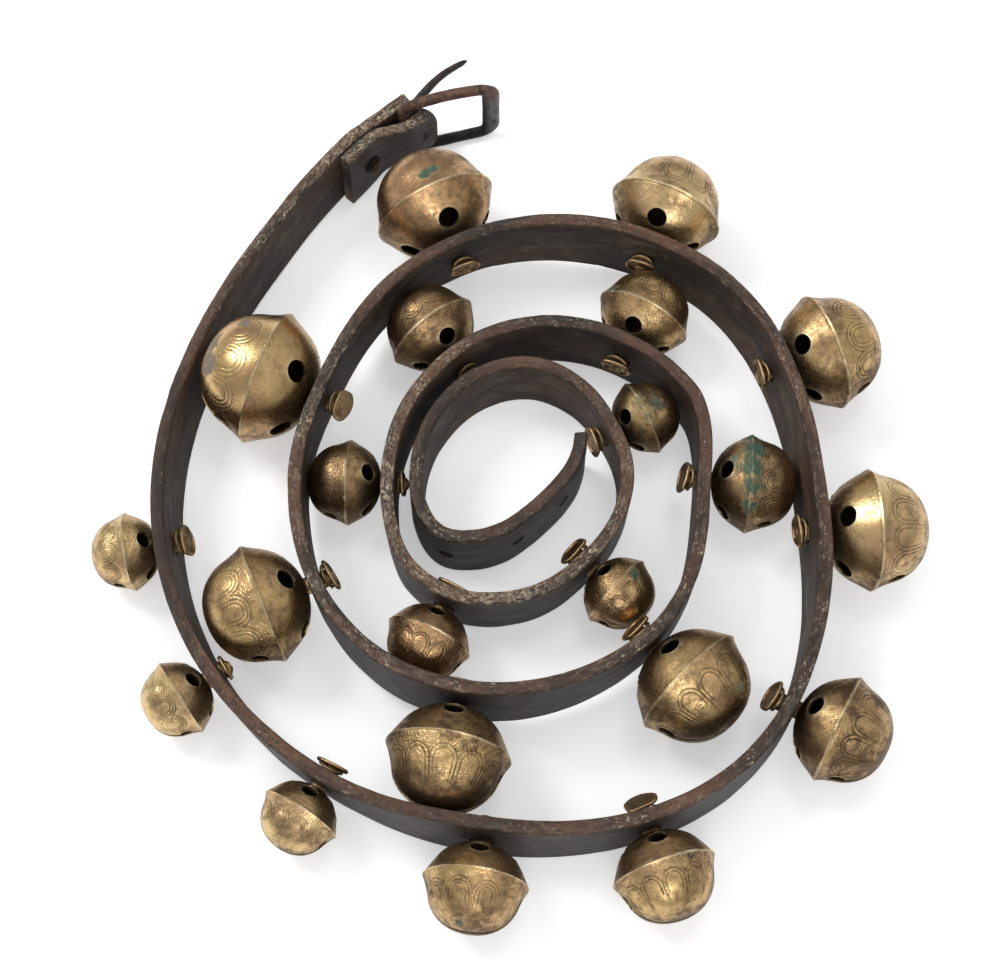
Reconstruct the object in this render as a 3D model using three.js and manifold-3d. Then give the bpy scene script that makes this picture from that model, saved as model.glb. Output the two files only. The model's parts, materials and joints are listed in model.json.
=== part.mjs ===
// Harness bell strap: cast petal bells in graduated sizes on one leather strap, wound up on its edge.
// Millimetres, +Z up, standing on z = 0, origin at the bottom centre of the whole part.
// The strap is wound from the tail outwards, so each turn lies outside the bells of the turn within.
import * as THREE from 'three';
import { mergeVertices } from 'three/addons/utils/BufferGeometryUtils.js';
import Module from 'manifold-3d';

const kit = await Module();
kit.setup();

// Strap leather, an inch and a quarter wide.
const STRAP_WIDTH = 31.75;
const STRAP_THICK = 5;
const EDGE_BEVEL = 1.1;
const SECTION_STEP = 13;

// Narrowed end that is folded round the buckle's bar and riveted to itself.
const CHAPE_WIDTH = 24;
const CHAPE_STRAIGHT = 12;
const FOLD_SPARE = 7;
const CHAPE_TAPER = 34;
const TAB_LENGTH = 42;
const TAB_GAP = 0.7;
const RIVET_SETBACK = 29;

// Punched holes in the tail for the tongue.
const TAIL_HOLE_DIAMETER = 5.5;
const TAIL_HOLE_TURNS = [44, 88, 122];

// Bell castings, given as the diameter over the ridge in each mould size.
const MOULD = { first: 30, second: 33, third: 38, fourth: 41, fifth: 46, sixth: 50, seventh: 53 };
const BELL_WALL = 1.9;
const BELL_SIDES = 10;
const HOLE_SIDES = 6;
const HOLE_DIAMETER = 6.4;
const SLIT_WIDTH = 2.6;
const SLIT_END_DIAMETER = 4.8;
const PELLET_SHARE = 0.3;
const PELLET_FIT = 0.3;
const GROOVE_WEDGE = 0.94;
const GROOVE_AHEAD = 0.04;

// Cast shank with its keeper plate and locking wire.
const SHANK_WIDTH = 7;
const SHANK_THICK = 2.6;
const SHANK_FIT = 0.7;
const BELL_STANDOFF = 0.9;
const KEEPER_STANDOFF = 1.3;
const KEEPER_LENGTH = 9;
const KEEPER_HEIGHT = 7.5;
const KEEPER_THICK = 1.4;
const WIRE_DIAMETER = 1.9;
const WIRE_LENGTH = 11;
const WIRE_BITE = 0.2;

// Iron buckle.
const ROD_DIAMETER = 4.6;
const BAR_PLAY = 0.6;
const FRAME_PLAY = 0.6;
const FRAME_LENGTH = 37;
const END_BAR_WIDTH = 7.5;
const END_BAR_THICK = 3.2;
const FRAME_SWING = -22;
const TONGUE_THICK = 4;
const TONGUE_EYE_WALL = 1.9;
const TONGUE_REACH = 42;
const TONGUE_SWING = 33;
const TONGUE_SLOT = 5.6;
const TONGUE_SLOT_SPARE = 4;
const TONGUE_TIP_RISE = 3.2;
const TONGUE_TAPER = 0.6;

// Copper rivet.
const RIVET_DIAMETER = 3.4;
const RIVET_HEAD = 9;
const RIVET_HEAD_THICK = 1.3;
const BURR_DIAMETER = 8;
const BURR_THICK = 1.3;
const RIVET_UPSET = 5.1;
const RIVET_FIT = 0.3;

// Bells from the buckle to the tail. at: degrees of winding, tilt: nose up, lean: strap top outwards,
// room: space left between the bell's nose and the next turn out.
const BELLS = [
  { at: 1244, ridge: MOULD.first, tilt: -3, lean: 6, room: 0 },
  { at: 1221, ridge: MOULD.first, tilt: -2, lean: 6, room: 0 },
  { at: 1198, ridge: MOULD.first, tilt: 1, lean: 4, room: 0 },
  { at: 1174, ridge: MOULD.third, tilt: 6, lean: -4, room: 0 },
  { at: 1151.5, ridge: MOULD.third, tilt: 3, lean: -1, room: 0 },
  { at: 1125, ridge: MOULD.fourth, tilt: 3, lean: 0, room: 0 },
  { at: 1097, ridge: MOULD.fifth, tilt: -3, lean: 6, room: 0 },
  { at: 1062, ridge: MOULD.fifth, tilt: 0, lean: 6, room: 0 },
  { at: 1022.5, ridge: MOULD.fifth, tilt: 3, lean: 1, room: 0 },
  { at: 976, ridge: MOULD.sixth, tilt: 5, lean: -4, room: 27 },
  { at: 915, ridge: MOULD.seventh, tilt: 3, lean: -2, room: 1.7 },
  { at: 863, ridge: MOULD.fifth, tilt: -2, lean: 3, room: 3.8 },
  { at: 821, ridge: MOULD.fifth, tilt: 5, lean: -3, room: 1.3 },
  { at: 777, ridge: MOULD.fifth, tilt: 2, lean: 3, room: 12.5 },
  { at: 729, ridge: MOULD.third, tilt: 1, lean: 0, room: 2 },
  { at: 676, ridge: MOULD.third, tilt: 5, lean: 0, room: 4.8 },
  { at: 602, ridge: MOULD.third, tilt: 3, lean: 0, room: 1.3 },
  { at: 525, ridge: MOULD.second, tilt: -1, lean: 1, room: 1.3 },
  { at: 472, ridge: MOULD.second, tilt: 0, lean: 3, room: 2 },
  { at: 417.5, ridge: MOULD.first, tilt: -2, lean: 4, room: 8 },
  { at: 347, ridge: MOULD.first, tilt: 5, lean: -2, room: 2.6 },
];

// Tail and inner turns: degrees of winding, clockwise from above, and the strap's radius there.
const INNER_TURNS = [
  [-6, 26.5], [20, 25.2], [42, 25], [62, 26.6], [80, 30.5], [95, 36], [110, 41.5], [126, 45.6],
  [145, 42.4], [166, 36.6], [190, 32.4], [217, 30.2], [250, 31], [285, 33.8], [315, 35.4], [347, 38.6],
  [373, 44.6], [398, 49.6], [420, 54], [444, 61], [468, 64.6], [488, 62], [506, 54.5], [525, 47.8],
  [548, 43.2], [578, 41], [602, 42.6], [627, 46.8], [651, 53], [677, 61.4], [698, 69.4],
];

// Outer turns: where a turn passes over no bell, its distance from the turn within.
const OPEN_TURNS = [
  { at: 738, pitch: 29.5 },
  { at: 922, pitch: 32.5 },
  { at: 1300, pitch: 53.5 },
  { at: 1318, pitch: 60.5 },
];
const LAST_TURN = 1335;
const FLAT_TAIL_TURN = 200;

// Facets round small, middling and large turned pieces, and steps along bent ones.
const PLATE_SIDES = 8;
const ROD_SIDES = 10;
const HEAD_SIDES = 12;
const EYE_SIDES = 16;
const WIRE_SIDES = 5;
const FOLD_STEPS = 8;
const TAB_STEPS = 6;
const ARM_STEPS = 6;

const AXIS_X = new THREE.Vector3(1, 0, 0);
const AXIS_Y = new THREE.Vector3(0, 1, 0);
const AXIS_Z = new THREE.Vector3(0, 0, 1);
const FULL_TURN = 360;
const rad = THREE.MathUtils.degToRad;
const half = (value) => value / 2;

// Outline of a casting from the shank to the nose, as shares of the ridge radius.
const OUTER_PROFILE = [
  [0, -0.75], [0.62, -0.55], [0.86, -0.22], [1, 0], [0.92, 0.18], [0.76, 0.6], [0.42, 0.87], [0, 0.95],
];
const INNER_PROFILE = [[0, -0.75], [0.62, -0.55], [0.9, 0], [0.74, 0.6], [0, 0.95]];
const HOLE_PLACE = [0.66, -0.5];
const SLIT_END_AHEAD = 0.36;
const SHANK_DEPTH = -OUTER_PROFILE[0][1];
const NOSE_DEPTH = OUTER_PROFILE[OUTER_PROFILE.length - 1][1];

const bellReach = (ridge) => half(STRAP_THICK) + BELL_STANDOFF + half(ridge) * SHANK_DEPTH;
const bellPitch = (bell) =>
  bellReach(bell.ridge) + half(bell.ridge) * NOSE_DEPTH + half(STRAP_THICK) + bell.room;

// Turn a closed geometry into a solid that can be joined or cut.
function solidOf(geometry) {
  const bare = geometry.clone();
  bare.deleteAttribute('normal');
  bare.deleteAttribute('uv');
  const welded = mergeVertices(bare, 1e-4);
  const mesh = new kit.Mesh({
    numProp: 3,
    vertProperties: Float32Array.from(welded.attributes.position.array),
    triVerts: Uint32Array.from(welded.index.array),
  });
  return new kit.Manifold(mesh);
}

// Turn a finished solid back into a geometry.
function geometryOf(solid) {
  const mesh = solid.getMesh();
  const geometry = new THREE.BufferGeometry();
  geometry.setAttribute('position', new THREE.BufferAttribute(Float32Array.from(mesh.vertProperties), 3));
  geometry.setIndex(new THREE.BufferAttribute(Uint32Array.from(mesh.triVerts), 1));
  geometry.computeVertexNormals();
  return geometry;
}

function rawGeometry(points, triangles) {
  const geometry = new THREE.BufferGeometry();
  geometry.setAttribute('position', new THREE.Float32BufferAttribute(points.flat(), 3));
  geometry.setIndex(triangles.flat());
  return geometry;
}

// Closed body of revolution about Y; the profile starts and ends on the axis and runs towards +Y.
function revolve(profile, sides) {
  const points = [[0, profile[0][1], 0]];
  const rings = profile.slice(1, -1);
  for (const [radius, y] of rings) {
    for (let k = 0; k < sides; k += 1) {
      const angle = (2 * Math.PI * k) / sides;
      points.push([radius * Math.cos(angle), y, -radius * Math.sin(angle)]);
    }
  }
  points.push([0, profile[profile.length - 1][1], 0]);
  const top = points.length - 1;
  const triangles = [];
  for (let k = 0; k < sides; k += 1) {
    const next = (k + 1) % sides;
    triangles.push([0, 1 + next, 1 + k]);
    for (let ring = 0; ring < rings.length - 1; ring += 1) {
      const low = 1 + ring * sides;
      const high = low + sides;
      triangles.push([low + k, low + next, high + next], [low + k, high + next, high + k]);
    }
    const last = 1 + (rings.length - 1) * sides;
    triangles.push([top, last + k, last + next]);
  }
  return rawGeometry(points, triangles);
}

function boxAt(sx, sy, sz, x, y, z) {
  return new THREE.BoxGeometry(sx, sy, sz).translate(x, y, z);
}

// Cylinder along a given direction, centred on a point.
function rodAt(diameter, length, direction, x, y, z, sides) {
  const geometry = new THREE.CylinderGeometry(half(diameter), half(diameter), length, sides);
  const unit = direction.clone().normalize();
  const turn = new THREE.Quaternion().setFromUnitVectors(AXIS_Y, unit);
  return geometry.applyQuaternion(turn).translate(x, y, z);
}

// Winding: radius of the strap's middle at each station, then a smooth curve through them.
const stations = INNER_TURNS.map(([at, radius]) => ({ at, radius }));

function radiusAt(turn) {
  const last = stations.length - 1;
  let k = 0;
  while (k < last - 1 && stations[k + 1].at < turn) {
    k += 1;
  }
  const slope = (i) => {
    const a = stations[Math.max(i - 1, 0)];
    const b = stations[Math.min(i + 1, last)];
    return (b.radius - a.radius) / (b.at - a.at);
  };
  const from = stations[k];
  const to = stations[k + 1];
  const span = to.at - from.at;
  const u = (turn - from.at) / span;
  const rise = to.radius - from.radius;
  const bendA = slope(k) * span - rise;
  const bendB = rise - slope(k + 1) * span;
  return from.radius + u * rise + u * (1 - u) * (bendA * (1 - u) + bendB * u);
}

const overBells = BELLS
  .filter((bell) => bell.room > 0)
  .map((bell) => ({ at: bell.at + FULL_TURN, pitch: bellPitch(bell) }));
const outerTurns = [...overBells, ...OPEN_TURNS].sort((a, b) => a.at - b.at);
for (const { at, pitch } of outerTurns) {
  stations.push({ at, radius: radiusAt(at - FULL_TURN) + pitch });
}

const planAt = (turn) => {
  const radius = radiusAt(turn);
  return new THREE.Vector2(radius * Math.cos(rad(-turn)), radius * Math.sin(rad(-turn)));
};

// Height of the strap's middle and its lean, set at every bell and at both ends.
const frameOuter = CHAPE_WIDTH + 2 * (FRAME_PLAY + ROD_DIAMETER);
const levels = BELLS.map((bell) => {
  const lean = rad(Math.abs(bell.lean));
  const tilt = rad(bell.tilt);
  const standing = half(STRAP_WIDTH) * Math.cos(lean) + half(STRAP_THICK) * Math.sin(lean);
  const resting = half(bell.ridge) * Math.cos(tilt) - bellReach(bell.ridge) * Math.sin(tilt);
  return { at: bell.at, height: Math.max(standing, resting), lean: bell.lean };
}).reverse();
levels.unshift({ at: INNER_TURNS[0][0], height: half(STRAP_WIDTH), lean: 0 });
levels.splice(1, 0, { at: FLAT_TAIL_TURN, height: half(STRAP_WIDTH), lean: 0 });
levels.push({ at: LAST_TURN, height: Math.max(half(frameOuter), half(STRAP_WIDTH)), lean: 0 });

function levelAt(turn) {
  let k = 0;
  while (k < levels.length - 2 && levels[k + 1].at < turn) {
    k += 1;
  }
  const from = levels[k];
  const to = levels[k + 1];
  const u = THREE.MathUtils.smoothstep(turn, from.at, to.at);
  return { height: from.height + u * (to.height - from.height), lean: from.lean + u * (to.lean - from.lean) };
}

// Strap's place at a winding angle: middle, way along it and way outwards, all level.
function placeAt(turn) {
  const spot = planAt(turn);
  const way = planAt(turn + 0.5).sub(planAt(turn - 0.5)).normalize();
  return {
    middle: new THREE.Vector3(spot.x, spot.y, levelAt(turn).height),
    along: new THREE.Vector3(way.x, way.y, 0),
    out: new THREE.Vector3(-way.y, way.x, 0),
  };
}

// Route of the strap: the winding, the fold round the buckle's bar, and the tab back along the inside.
const route = [];
let travelled = 0;
let before = planAt(INNER_TURNS[0][0]);
for (let turn = INNER_TURNS[0][0]; turn <= LAST_TURN; turn += 0.5) {
  const spot = planAt(turn);
  travelled += spot.distanceTo(before);
  before = spot;
  route.push({ x: spot.x, y: spot.y, ...levelAt(turn), turn, run: travelled });
}
const windingLength = travelled;
const finish = placeAt(LAST_TURN);
const inward = finish.out.clone().negate();
const foldRadius = half(ROD_DIAMETER) + BAR_PLAY + half(STRAP_THICK);
const foldCentre = finish.middle.clone().addScaledVector(inward, foldRadius);
const barPlace = foldCentre.clone().addScaledVector(finish.along, -FOLD_SPARE);

const winding = [route[0]];
for (const spot of route) {
  if (spot.run - winding[winding.length - 1].run >= SECTION_STEP) {
    winding.push(spot);
  }
}
winding[winding.length - 1] = route[route.length - 1];

const fold = [];
for (let k = 1; k <= FOLD_STEPS; k += 1) {
  const angle = (Math.PI * k) / FOLD_STEPS;
  const spot = foldCentre.clone()
    .addScaledVector(finish.out, foldRadius * Math.cos(angle))
    .addScaledVector(finish.along, foldRadius * Math.sin(angle));
  const run = windingLength + foldRadius * angle;
  fold.push({ x: spot.x, y: spot.y, height: finish.middle.z, lean: 0, run });
}

// A spot on the strap at a distance back from the fold.
function backFromFold(distance) {
  const wanted = windingLength - distance;
  let k = route.length - 2;
  while (k > 0 && route[k].run > wanted) {
    k -= 1;
  }
  const share = (wanted - route[k].run) / (route[k + 1].run - route[k].run);
  return placeAt(route[k].turn + share * (route[k + 1].turn - route[k].turn));
}

const tabOffset = (distance) => {
  const closing = THREE.MathUtils.smoothstep(distance, FOLD_SPARE, RIVET_SETBACK - half(RIVET_HEAD));
  return 2 * foldRadius + closing * (STRAP_THICK + TAB_GAP - 2 * foldRadius);
};
for (let k = 1; k <= TAB_STEPS; k += 1) {
  const distance = (TAB_LENGTH * k) / TAB_STEPS;
  const back = backFromFold(distance);
  const spot = back.middle.clone().addScaledVector(back.out, -tabOffset(distance));
  const run = windingLength + Math.PI * foldRadius + distance;
  fold.push({ x: spot.x, y: spot.y, height: back.middle.z, lean: 0, run });
}

const strapRoute = [...winding, ...fold];

function widthAt(run) {
  const halfFold = half(Math.PI * foldRadius);
  const distance = Math.max(0, Math.abs(run - windingLength - halfFold) - halfFold);
  const narrow = 1 - THREE.MathUtils.smoothstep(distance, CHAPE_STRAIGHT, CHAPE_TAPER);
  return STRAP_WIDTH - narrow * (STRAP_WIDTH - CHAPE_WIDTH);
}

// Cross-section corners of the strap at one spot of the route.
function sectionAt(list, k) {
  const spot = list[k];
  const ahead = list[Math.min(k + 1, list.length - 1)];
  const behind = list[Math.max(k - 1, 0)];
  const way = new THREE.Vector3(ahead.x - behind.x, ahead.y - behind.y, 0).normalize();
  const level = new THREE.Vector3(-way.y, way.x, 0);
  const lean = rad(spot.lean);
  const out = level.clone().multiplyScalar(Math.cos(lean)).addScaledVector(AXIS_Z, -Math.sin(lean));
  const up = AXIS_Z.clone().multiplyScalar(Math.cos(lean)).addScaledVector(level, Math.sin(lean));
  const t = half(STRAP_THICK);
  const w = half(widthAt(spot.run));
  const c = EDGE_BEVEL;
  const outline = [
    [t, -w + c], [t, w - c], [t - c, w], [-t + c, w],
    [-t, w - c], [-t, -w + c], [-t + c, -w], [t - c, -w],
  ];
  const middle = new THREE.Vector3(spot.x, spot.y, spot.height);
  const corners = outline.map(([a, b]) => middle.clone().addScaledVector(out, a).addScaledVector(up, b));
  return { middle, out, up, corners };
}

function sweepStrap() {
  const sections = strapRoute.map((_, k) => sectionAt(strapRoute, k));
  const size = sections[0].corners.length;
  const points = sections.flatMap((section) => section.corners.map((p) => p.toArray()));
  const triangles = [];
  for (let k = 0; k < sections.length - 1; k += 1) {
    for (let j = 0; j < size; j += 1) {
      const next = (j + 1) % size;
      const a = k * size;
      const b = a + size;
      triangles.push([a + j, b + next, b + j], [a + j, a + next, b + next]);
    }
  }
  const last = (sections.length - 1) * size;
  for (let j = 1; j < size - 1; j += 1) {
    triangles.push([0, j + 1, j], [last, last + j, last + j + 1]);
  }
  return solidOf(rawGeometry(points, triangles));
}

// Least clear gap of the strap to itself, measured between edge and middle points of its sections.
function leastGap() {
  const NEIGHBOUR = 26;
  const sections = strapRoute.map((_, k) => sectionAt(strapRoute, k));
  const rows = sections.map((section, k) => {
    const w = half(widthAt(strapRoute[k].run));
    return [-w, 0, w].map((b) => section.middle.clone().addScaledVector(section.up, b));
  });
  let least = Infinity;
  for (let i = 0; i < rows.length; i += 1) {
    for (let j = i + 1; j < rows.length - 1; j += 1) {
      if (strapRoute[j].run - strapRoute[i].run < NEIGHBOUR) {
        continue;
      }
      for (const a of rows[i]) {
        for (let m = 0; m < 3; m += 1) {
          const span = new THREE.Line3(rows[j][m], rows[j + 1][m]);
          const near = span.closestPointToPoint(a, true, new THREE.Vector3());
          least = Math.min(least, near.distanceTo(a) - STRAP_THICK);
        }
      }
    }
  }
  return least;
}

// Where a bell pivots on the strap: X along the strap, Y out towards the nose, Z up the strap.
function bellBasis(bell) {
  const place = placeAt(bell.at);
  const tilt = rad(bell.tilt);
  const nose = place.out.clone().multiplyScalar(Math.cos(tilt)).addScaledVector(AXIS_Z, Math.sin(tilt));
  const up = new THREE.Vector3().crossVectors(place.along, nose);
  return new THREE.Matrix4().makeBasis(place.along, nose, up).setPosition(place.middle);
}

const atBell = (geometry, bell) => solidOf(geometry.clone().applyMatrix4(bellBasis(bell)));

function makeStrap() {
  let strap = sweepStrap();
  const through = 4 * STRAP_THICK;
  const slit = boxAt(SHANK_WIDTH + 2 * SHANK_FIT, through, SHANK_THICK + 2 * SHANK_FIT, 0, 0, 0);
  for (const bell of BELLS) {
    strap = strap.subtract(atBell(slit, bell));
  }
  for (const turn of TAIL_HOLE_TURNS) {
    const place = placeAt(turn);
    const { x, y, z } = place.middle;
    strap = strap.subtract(solidOf(rodAt(TAIL_HOLE_DIAMETER, through, place.out, x, y, z, ROD_SIDES)));
  }
  const rivet = backFromFold(RIVET_SETBACK);
  const { x, y, z } = rivet.middle;
  const hole = rodAt(RIVET_DIAMETER + 2 * RIVET_FIT, 2 * through, rivet.out, x, y, z, ROD_SIDES);
  strap = strap.subtract(solidOf(hole));
  const slotReach = foldRadius + STRAP_THICK + TONGUE_SLOT_SPARE;
  const slot = boxAt(2 * slotReach + FOLD_SPARE, 4 * slotReach, TONGUE_SLOT, half(FOLD_SPARE), 0, 0)
    .applyMatrix4(new THREE.Matrix4().makeBasis(finish.along, finish.out, AXIS_Z))
    .translate(barPlace.x, barPlace.y, barPlace.z);
  return strap.subtract(solidOf(slot));
}

// One bell casting about its pivot, with keeper plate and locking wire on the inside of the strap.
function makeBell(ridge) {
  const radius = half(ridge);
  const reach = bellReach(ridge);
  const outside = OUTER_PROFILE.map(([r, y]) => [r * radius, y * radius + reach]);
  const inside = INNER_PROFILE.map(([r, y]) => {
    const shrink = 1 - BELL_WALL / (Math.hypot(r, y) * radius);
    return [r * radius * shrink, y * radius * shrink + reach];
  });
  let bell = solidOf(revolve(outside, BELL_SIDES)).subtract(solidOf(revolve(inside, BELL_SIDES)));
  const [holeOut, holeBack] = HOLE_PLACE;
  for (let k = 0; k < 4; k += 1) {
    const angle = (Math.PI * k) / 2;
    const way = new THREE.Vector3(holeOut * Math.cos(angle), holeBack, holeOut * Math.sin(angle));
    const spot = way.clone().multiplyScalar(radius);
    const hole = rodAt(HOLE_DIAMETER, 4 * BELL_WALL, way, spot.x, spot.y + reach, spot.z, HOLE_SIDES);
    bell = bell.subtract(solidOf(hole));
  }
  const endY = reach + SLIT_END_AHEAD * radius;
  const slitTop = reach + radius + BELL_WALL;
  const slit = boxAt(2 * radius + BELL_WALL, slitTop - endY, SLIT_WIDTH, 0, half(slitTop + endY), 0);
  bell = bell.subtract(solidOf(slit));
  bell = bell.subtract(solidOf(rodAt(SLIT_END_DIAMETER, 3 * radius, AXIS_X, 0, endY, 0, HOLE_SIDES)));
  const keeperY = -half(STRAP_THICK) - KEEPER_STANDOFF - half(KEEPER_THICK);
  const wireY = keeperY - half(KEEPER_THICK) - half(WIRE_DIAMETER) + WIRE_BITE;
  const shankEnd = wireY - WIRE_DIAMETER;
  const shankRoot = half(STRAP_THICK) + BELL_STANDOFF + half(BELL_WALL);
  const shank = boxAt(SHANK_WIDTH, shankRoot - shankEnd, SHANK_THICK, 0, half(shankRoot + shankEnd), 0);
  const plate = rodAt(KEEPER_LENGTH, KEEPER_THICK, AXIS_Y, 0, keeperY, 0, PLATE_SIDES)
    .scale(1, 1, KEEPER_HEIGHT / KEEPER_LENGTH);
  const wire = rodAt(WIRE_DIAMETER, WIRE_LENGTH, AXIS_Z, 0, wireY, 0, WIRE_SIDES);
  return bell.add(solidOf(shank)).add(solidOf(plate)).add(solidOf(wire));
}

// Loose pellet lying at the bottom of its bell, in the groove that the hollow forms inside the ridge.
function makePellet(ridge) {
  const radius = half(ridge);
  const pellet = PELLET_SHARE * radius;
  const hollow = (INNER_PROFILE[2][0] * radius - BELL_WALL) * Math.cos(Math.PI / BELL_SIDES);
  const drop = hollow - (pellet + PELLET_FIT) / GROOVE_WEDGE;
  const ahead = bellReach(ridge) + GROOVE_AHEAD * radius;
  return solidOf(new THREE.OctahedronGeometry(pellet, 1).translate(0, ahead, -drop));
}

// Buckle frame about its bar: X towards the end bar, Z along the bar.
function makeFrame() {
  const railZ = half(frameOuter) - half(ROD_DIAMETER);
  let frame = solidOf(rodAt(ROD_DIAMETER, 2 * railZ, AXIS_Z, 0, 0, 0, ROD_SIDES));
  const railLength = FRAME_LENGTH + half(ROD_DIAMETER);
  for (const z of [railZ, -railZ]) {
    const middleX = half(FRAME_LENGTH - half(ROD_DIAMETER));
    frame = frame.add(solidOf(rodAt(ROD_DIAMETER, railLength, AXIS_X, middleX, 0, z, ROD_SIDES)));
  }
  return frame.add(solidOf(boxAt(END_BAR_WIDTH, END_BAR_THICK, 2 * railZ, FRAME_LENGTH, 0, 0)));
}

// Tongue about the bar: an eye and a tapered arm with its tip turned down onto the end bar.
function makeTongue() {
  const eyeInside = half(ROD_DIAMETER) + BAR_PLAY;
  const eyeOutside = eyeInside + TONGUE_EYE_WALL;
  const eye = solidOf(rodAt(2 * eyeOutside, TONGUE_THICK, AXIS_Z, 0, 0, 0, EYE_SIDES));
  const bore = solidOf(rodAt(2 * eyeInside, 2 * TONGUE_THICK, AXIS_Z, 0, 0, 0, EYE_SIDES));
  const root = half(eyeInside + eyeOutside);
  const upper = [];
  const lower = [];
  for (let k = 0; k <= ARM_STEPS; k += 1) {
    const share = k / ARM_STEPS;
    const x = TONGUE_REACH * share;
    const y = root * (1 - share) + TONGUE_TIP_RISE * share ** 2;
    const depth = half(TONGUE_THICK) * (1 - TONGUE_TAPER * share ** 2);
    upper.unshift(new THREE.Vector2(x, y + depth));
    lower.push(new THREE.Vector2(x, y - depth));
  }
  const outline = new THREE.Shape([...lower, ...upper]);
  const arm = new THREE.ExtrudeGeometry(outline, { depth: TONGUE_THICK, bevelEnabled: false });
  return eye.add(solidOf(arm.translate(0, 0, -half(TONGUE_THICK)))).subtract(bore);
}

// Rivet about the middle of the strap: Y outwards through both layers of leather.
const rivetInside = -(half(STRAP_THICK) + TAB_GAP + STRAP_THICK);

function makeRivet() {
  const headY = half(STRAP_THICK) + RIVET_FIT + half(RIVET_HEAD_THICK);
  const tailY = rivetInside - RIVET_FIT - BURR_THICK - RIVET_FIT - half(RIVET_HEAD_THICK);
  const head = solidOf(rodAt(RIVET_HEAD, RIVET_HEAD_THICK, AXIS_Y, 0, headY, 0, HEAD_SIDES));
  const shank = solidOf(rodAt(RIVET_DIAMETER, headY - tailY, AXIS_Y, 0, half(headY + tailY), 0, ROD_SIDES));
  const upset = solidOf(rodAt(RIVET_UPSET, RIVET_HEAD_THICK, AXIS_Y, 0, tailY, 0, ROD_SIDES));
  return head.add(shank).add(upset);
}

function makeBurr() {
  const y = rivetInside - RIVET_FIT - half(BURR_THICK);
  const disc = solidOf(rodAt(BURR_DIAMETER, BURR_THICK, AXIS_Y, 0, y, 0, HEAD_SIDES));
  const bore = solidOf(rodAt(RIVET_DIAMETER + 2 * RIVET_FIT, 3 * BURR_THICK, AXIS_Y, 0, y, 0, ROD_SIDES));
  return disc.subtract(bore);
}

const leather = new THREE.MeshStandardMaterial({ color: 0x3a2a22, roughness: 0.8 });
const brass = new THREE.MeshStandardMaterial({ color: 0x9a7a3c, roughness: 0.4, metalness: 1 });
const iron = new THREE.MeshStandardMaterial({ color: 0x4a3a32, roughness: 0.7, metalness: 0.8 });
const copper = new THREE.MeshStandardMaterial({ color: 0x7a4a32, roughness: 0.5, metalness: 1 });

const group = new THREE.Group();

function place(name, solid, material, matrix) {
  const mesh = new THREE.Mesh(geometryOf(solid), material);
  mesh.name = name;
  matrix.decompose(mesh.position, mesh.quaternion, mesh.scale);
  group.add(mesh);
}

place('strap', makeStrap(), leather, new THREE.Matrix4());
BELLS.forEach((bell, index) => {
  const number = String(index + 1).padStart(2, '0');
  const matrix = bellBasis(bell);
  place(`bell_${number}`, makeBell(bell.ridge), brass, matrix);
  place(`pellet_${number}`, makePellet(bell.ridge), iron, matrix);
});

const barMatrix = new THREE.Matrix4()
  .makeBasis(finish.along, finish.out, AXIS_Z)
  .setPosition(barPlace)
  .multiply(new THREE.Matrix4().makeRotationZ(rad(FRAME_SWING)));
const tongueMatrix = barMatrix.clone().multiply(new THREE.Matrix4().makeRotationZ(rad(TONGUE_SWING)));
place('buckle_frame', makeFrame(), iron, barMatrix);
place('buckle_tongue', makeTongue(), iron, tongueMatrix);

const rivetPlace = backFromFold(RIVET_SETBACK);
const rivetMatrix = new THREE.Matrix4()
  .makeBasis(rivetPlace.along, rivetPlace.out, AXIS_Z)
  .setPosition(rivetPlace.middle);
place('rivet', makeRivet(), copper, rivetMatrix);
place('rivet_burr', makeBurr(), copper, rivetMatrix);

// Origin at the bottom centre of the whole part.
group.updateMatrixWorld(true);
const box = new THREE.Box3().setFromObject(group, true);
const centre = box.getCenter(new THREE.Vector3());
group.position.set(-centre.x, -centre.y, -box.min.z);
group.updateMatrixWorld(true);

const strapLength = strapRoute[strapRoute.length - 1].run;
console.log(`strap length ${strapLength.toFixed(0)} mm, least gap to itself ${leastGap().toFixed(2)} mm`);

export default group;
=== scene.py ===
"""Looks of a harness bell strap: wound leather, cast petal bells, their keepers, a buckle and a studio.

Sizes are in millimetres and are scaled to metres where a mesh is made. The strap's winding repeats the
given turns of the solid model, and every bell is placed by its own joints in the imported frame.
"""
from __future__ import annotations

import bisect
import json
import logging
import math
from dataclasses import dataclass, field
from enum import Enum
from typing import Callable, Sequence

import bmesh
import bpy
import numpy as np
from mathutils import Matrix, Vector, kdtree, noise

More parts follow.
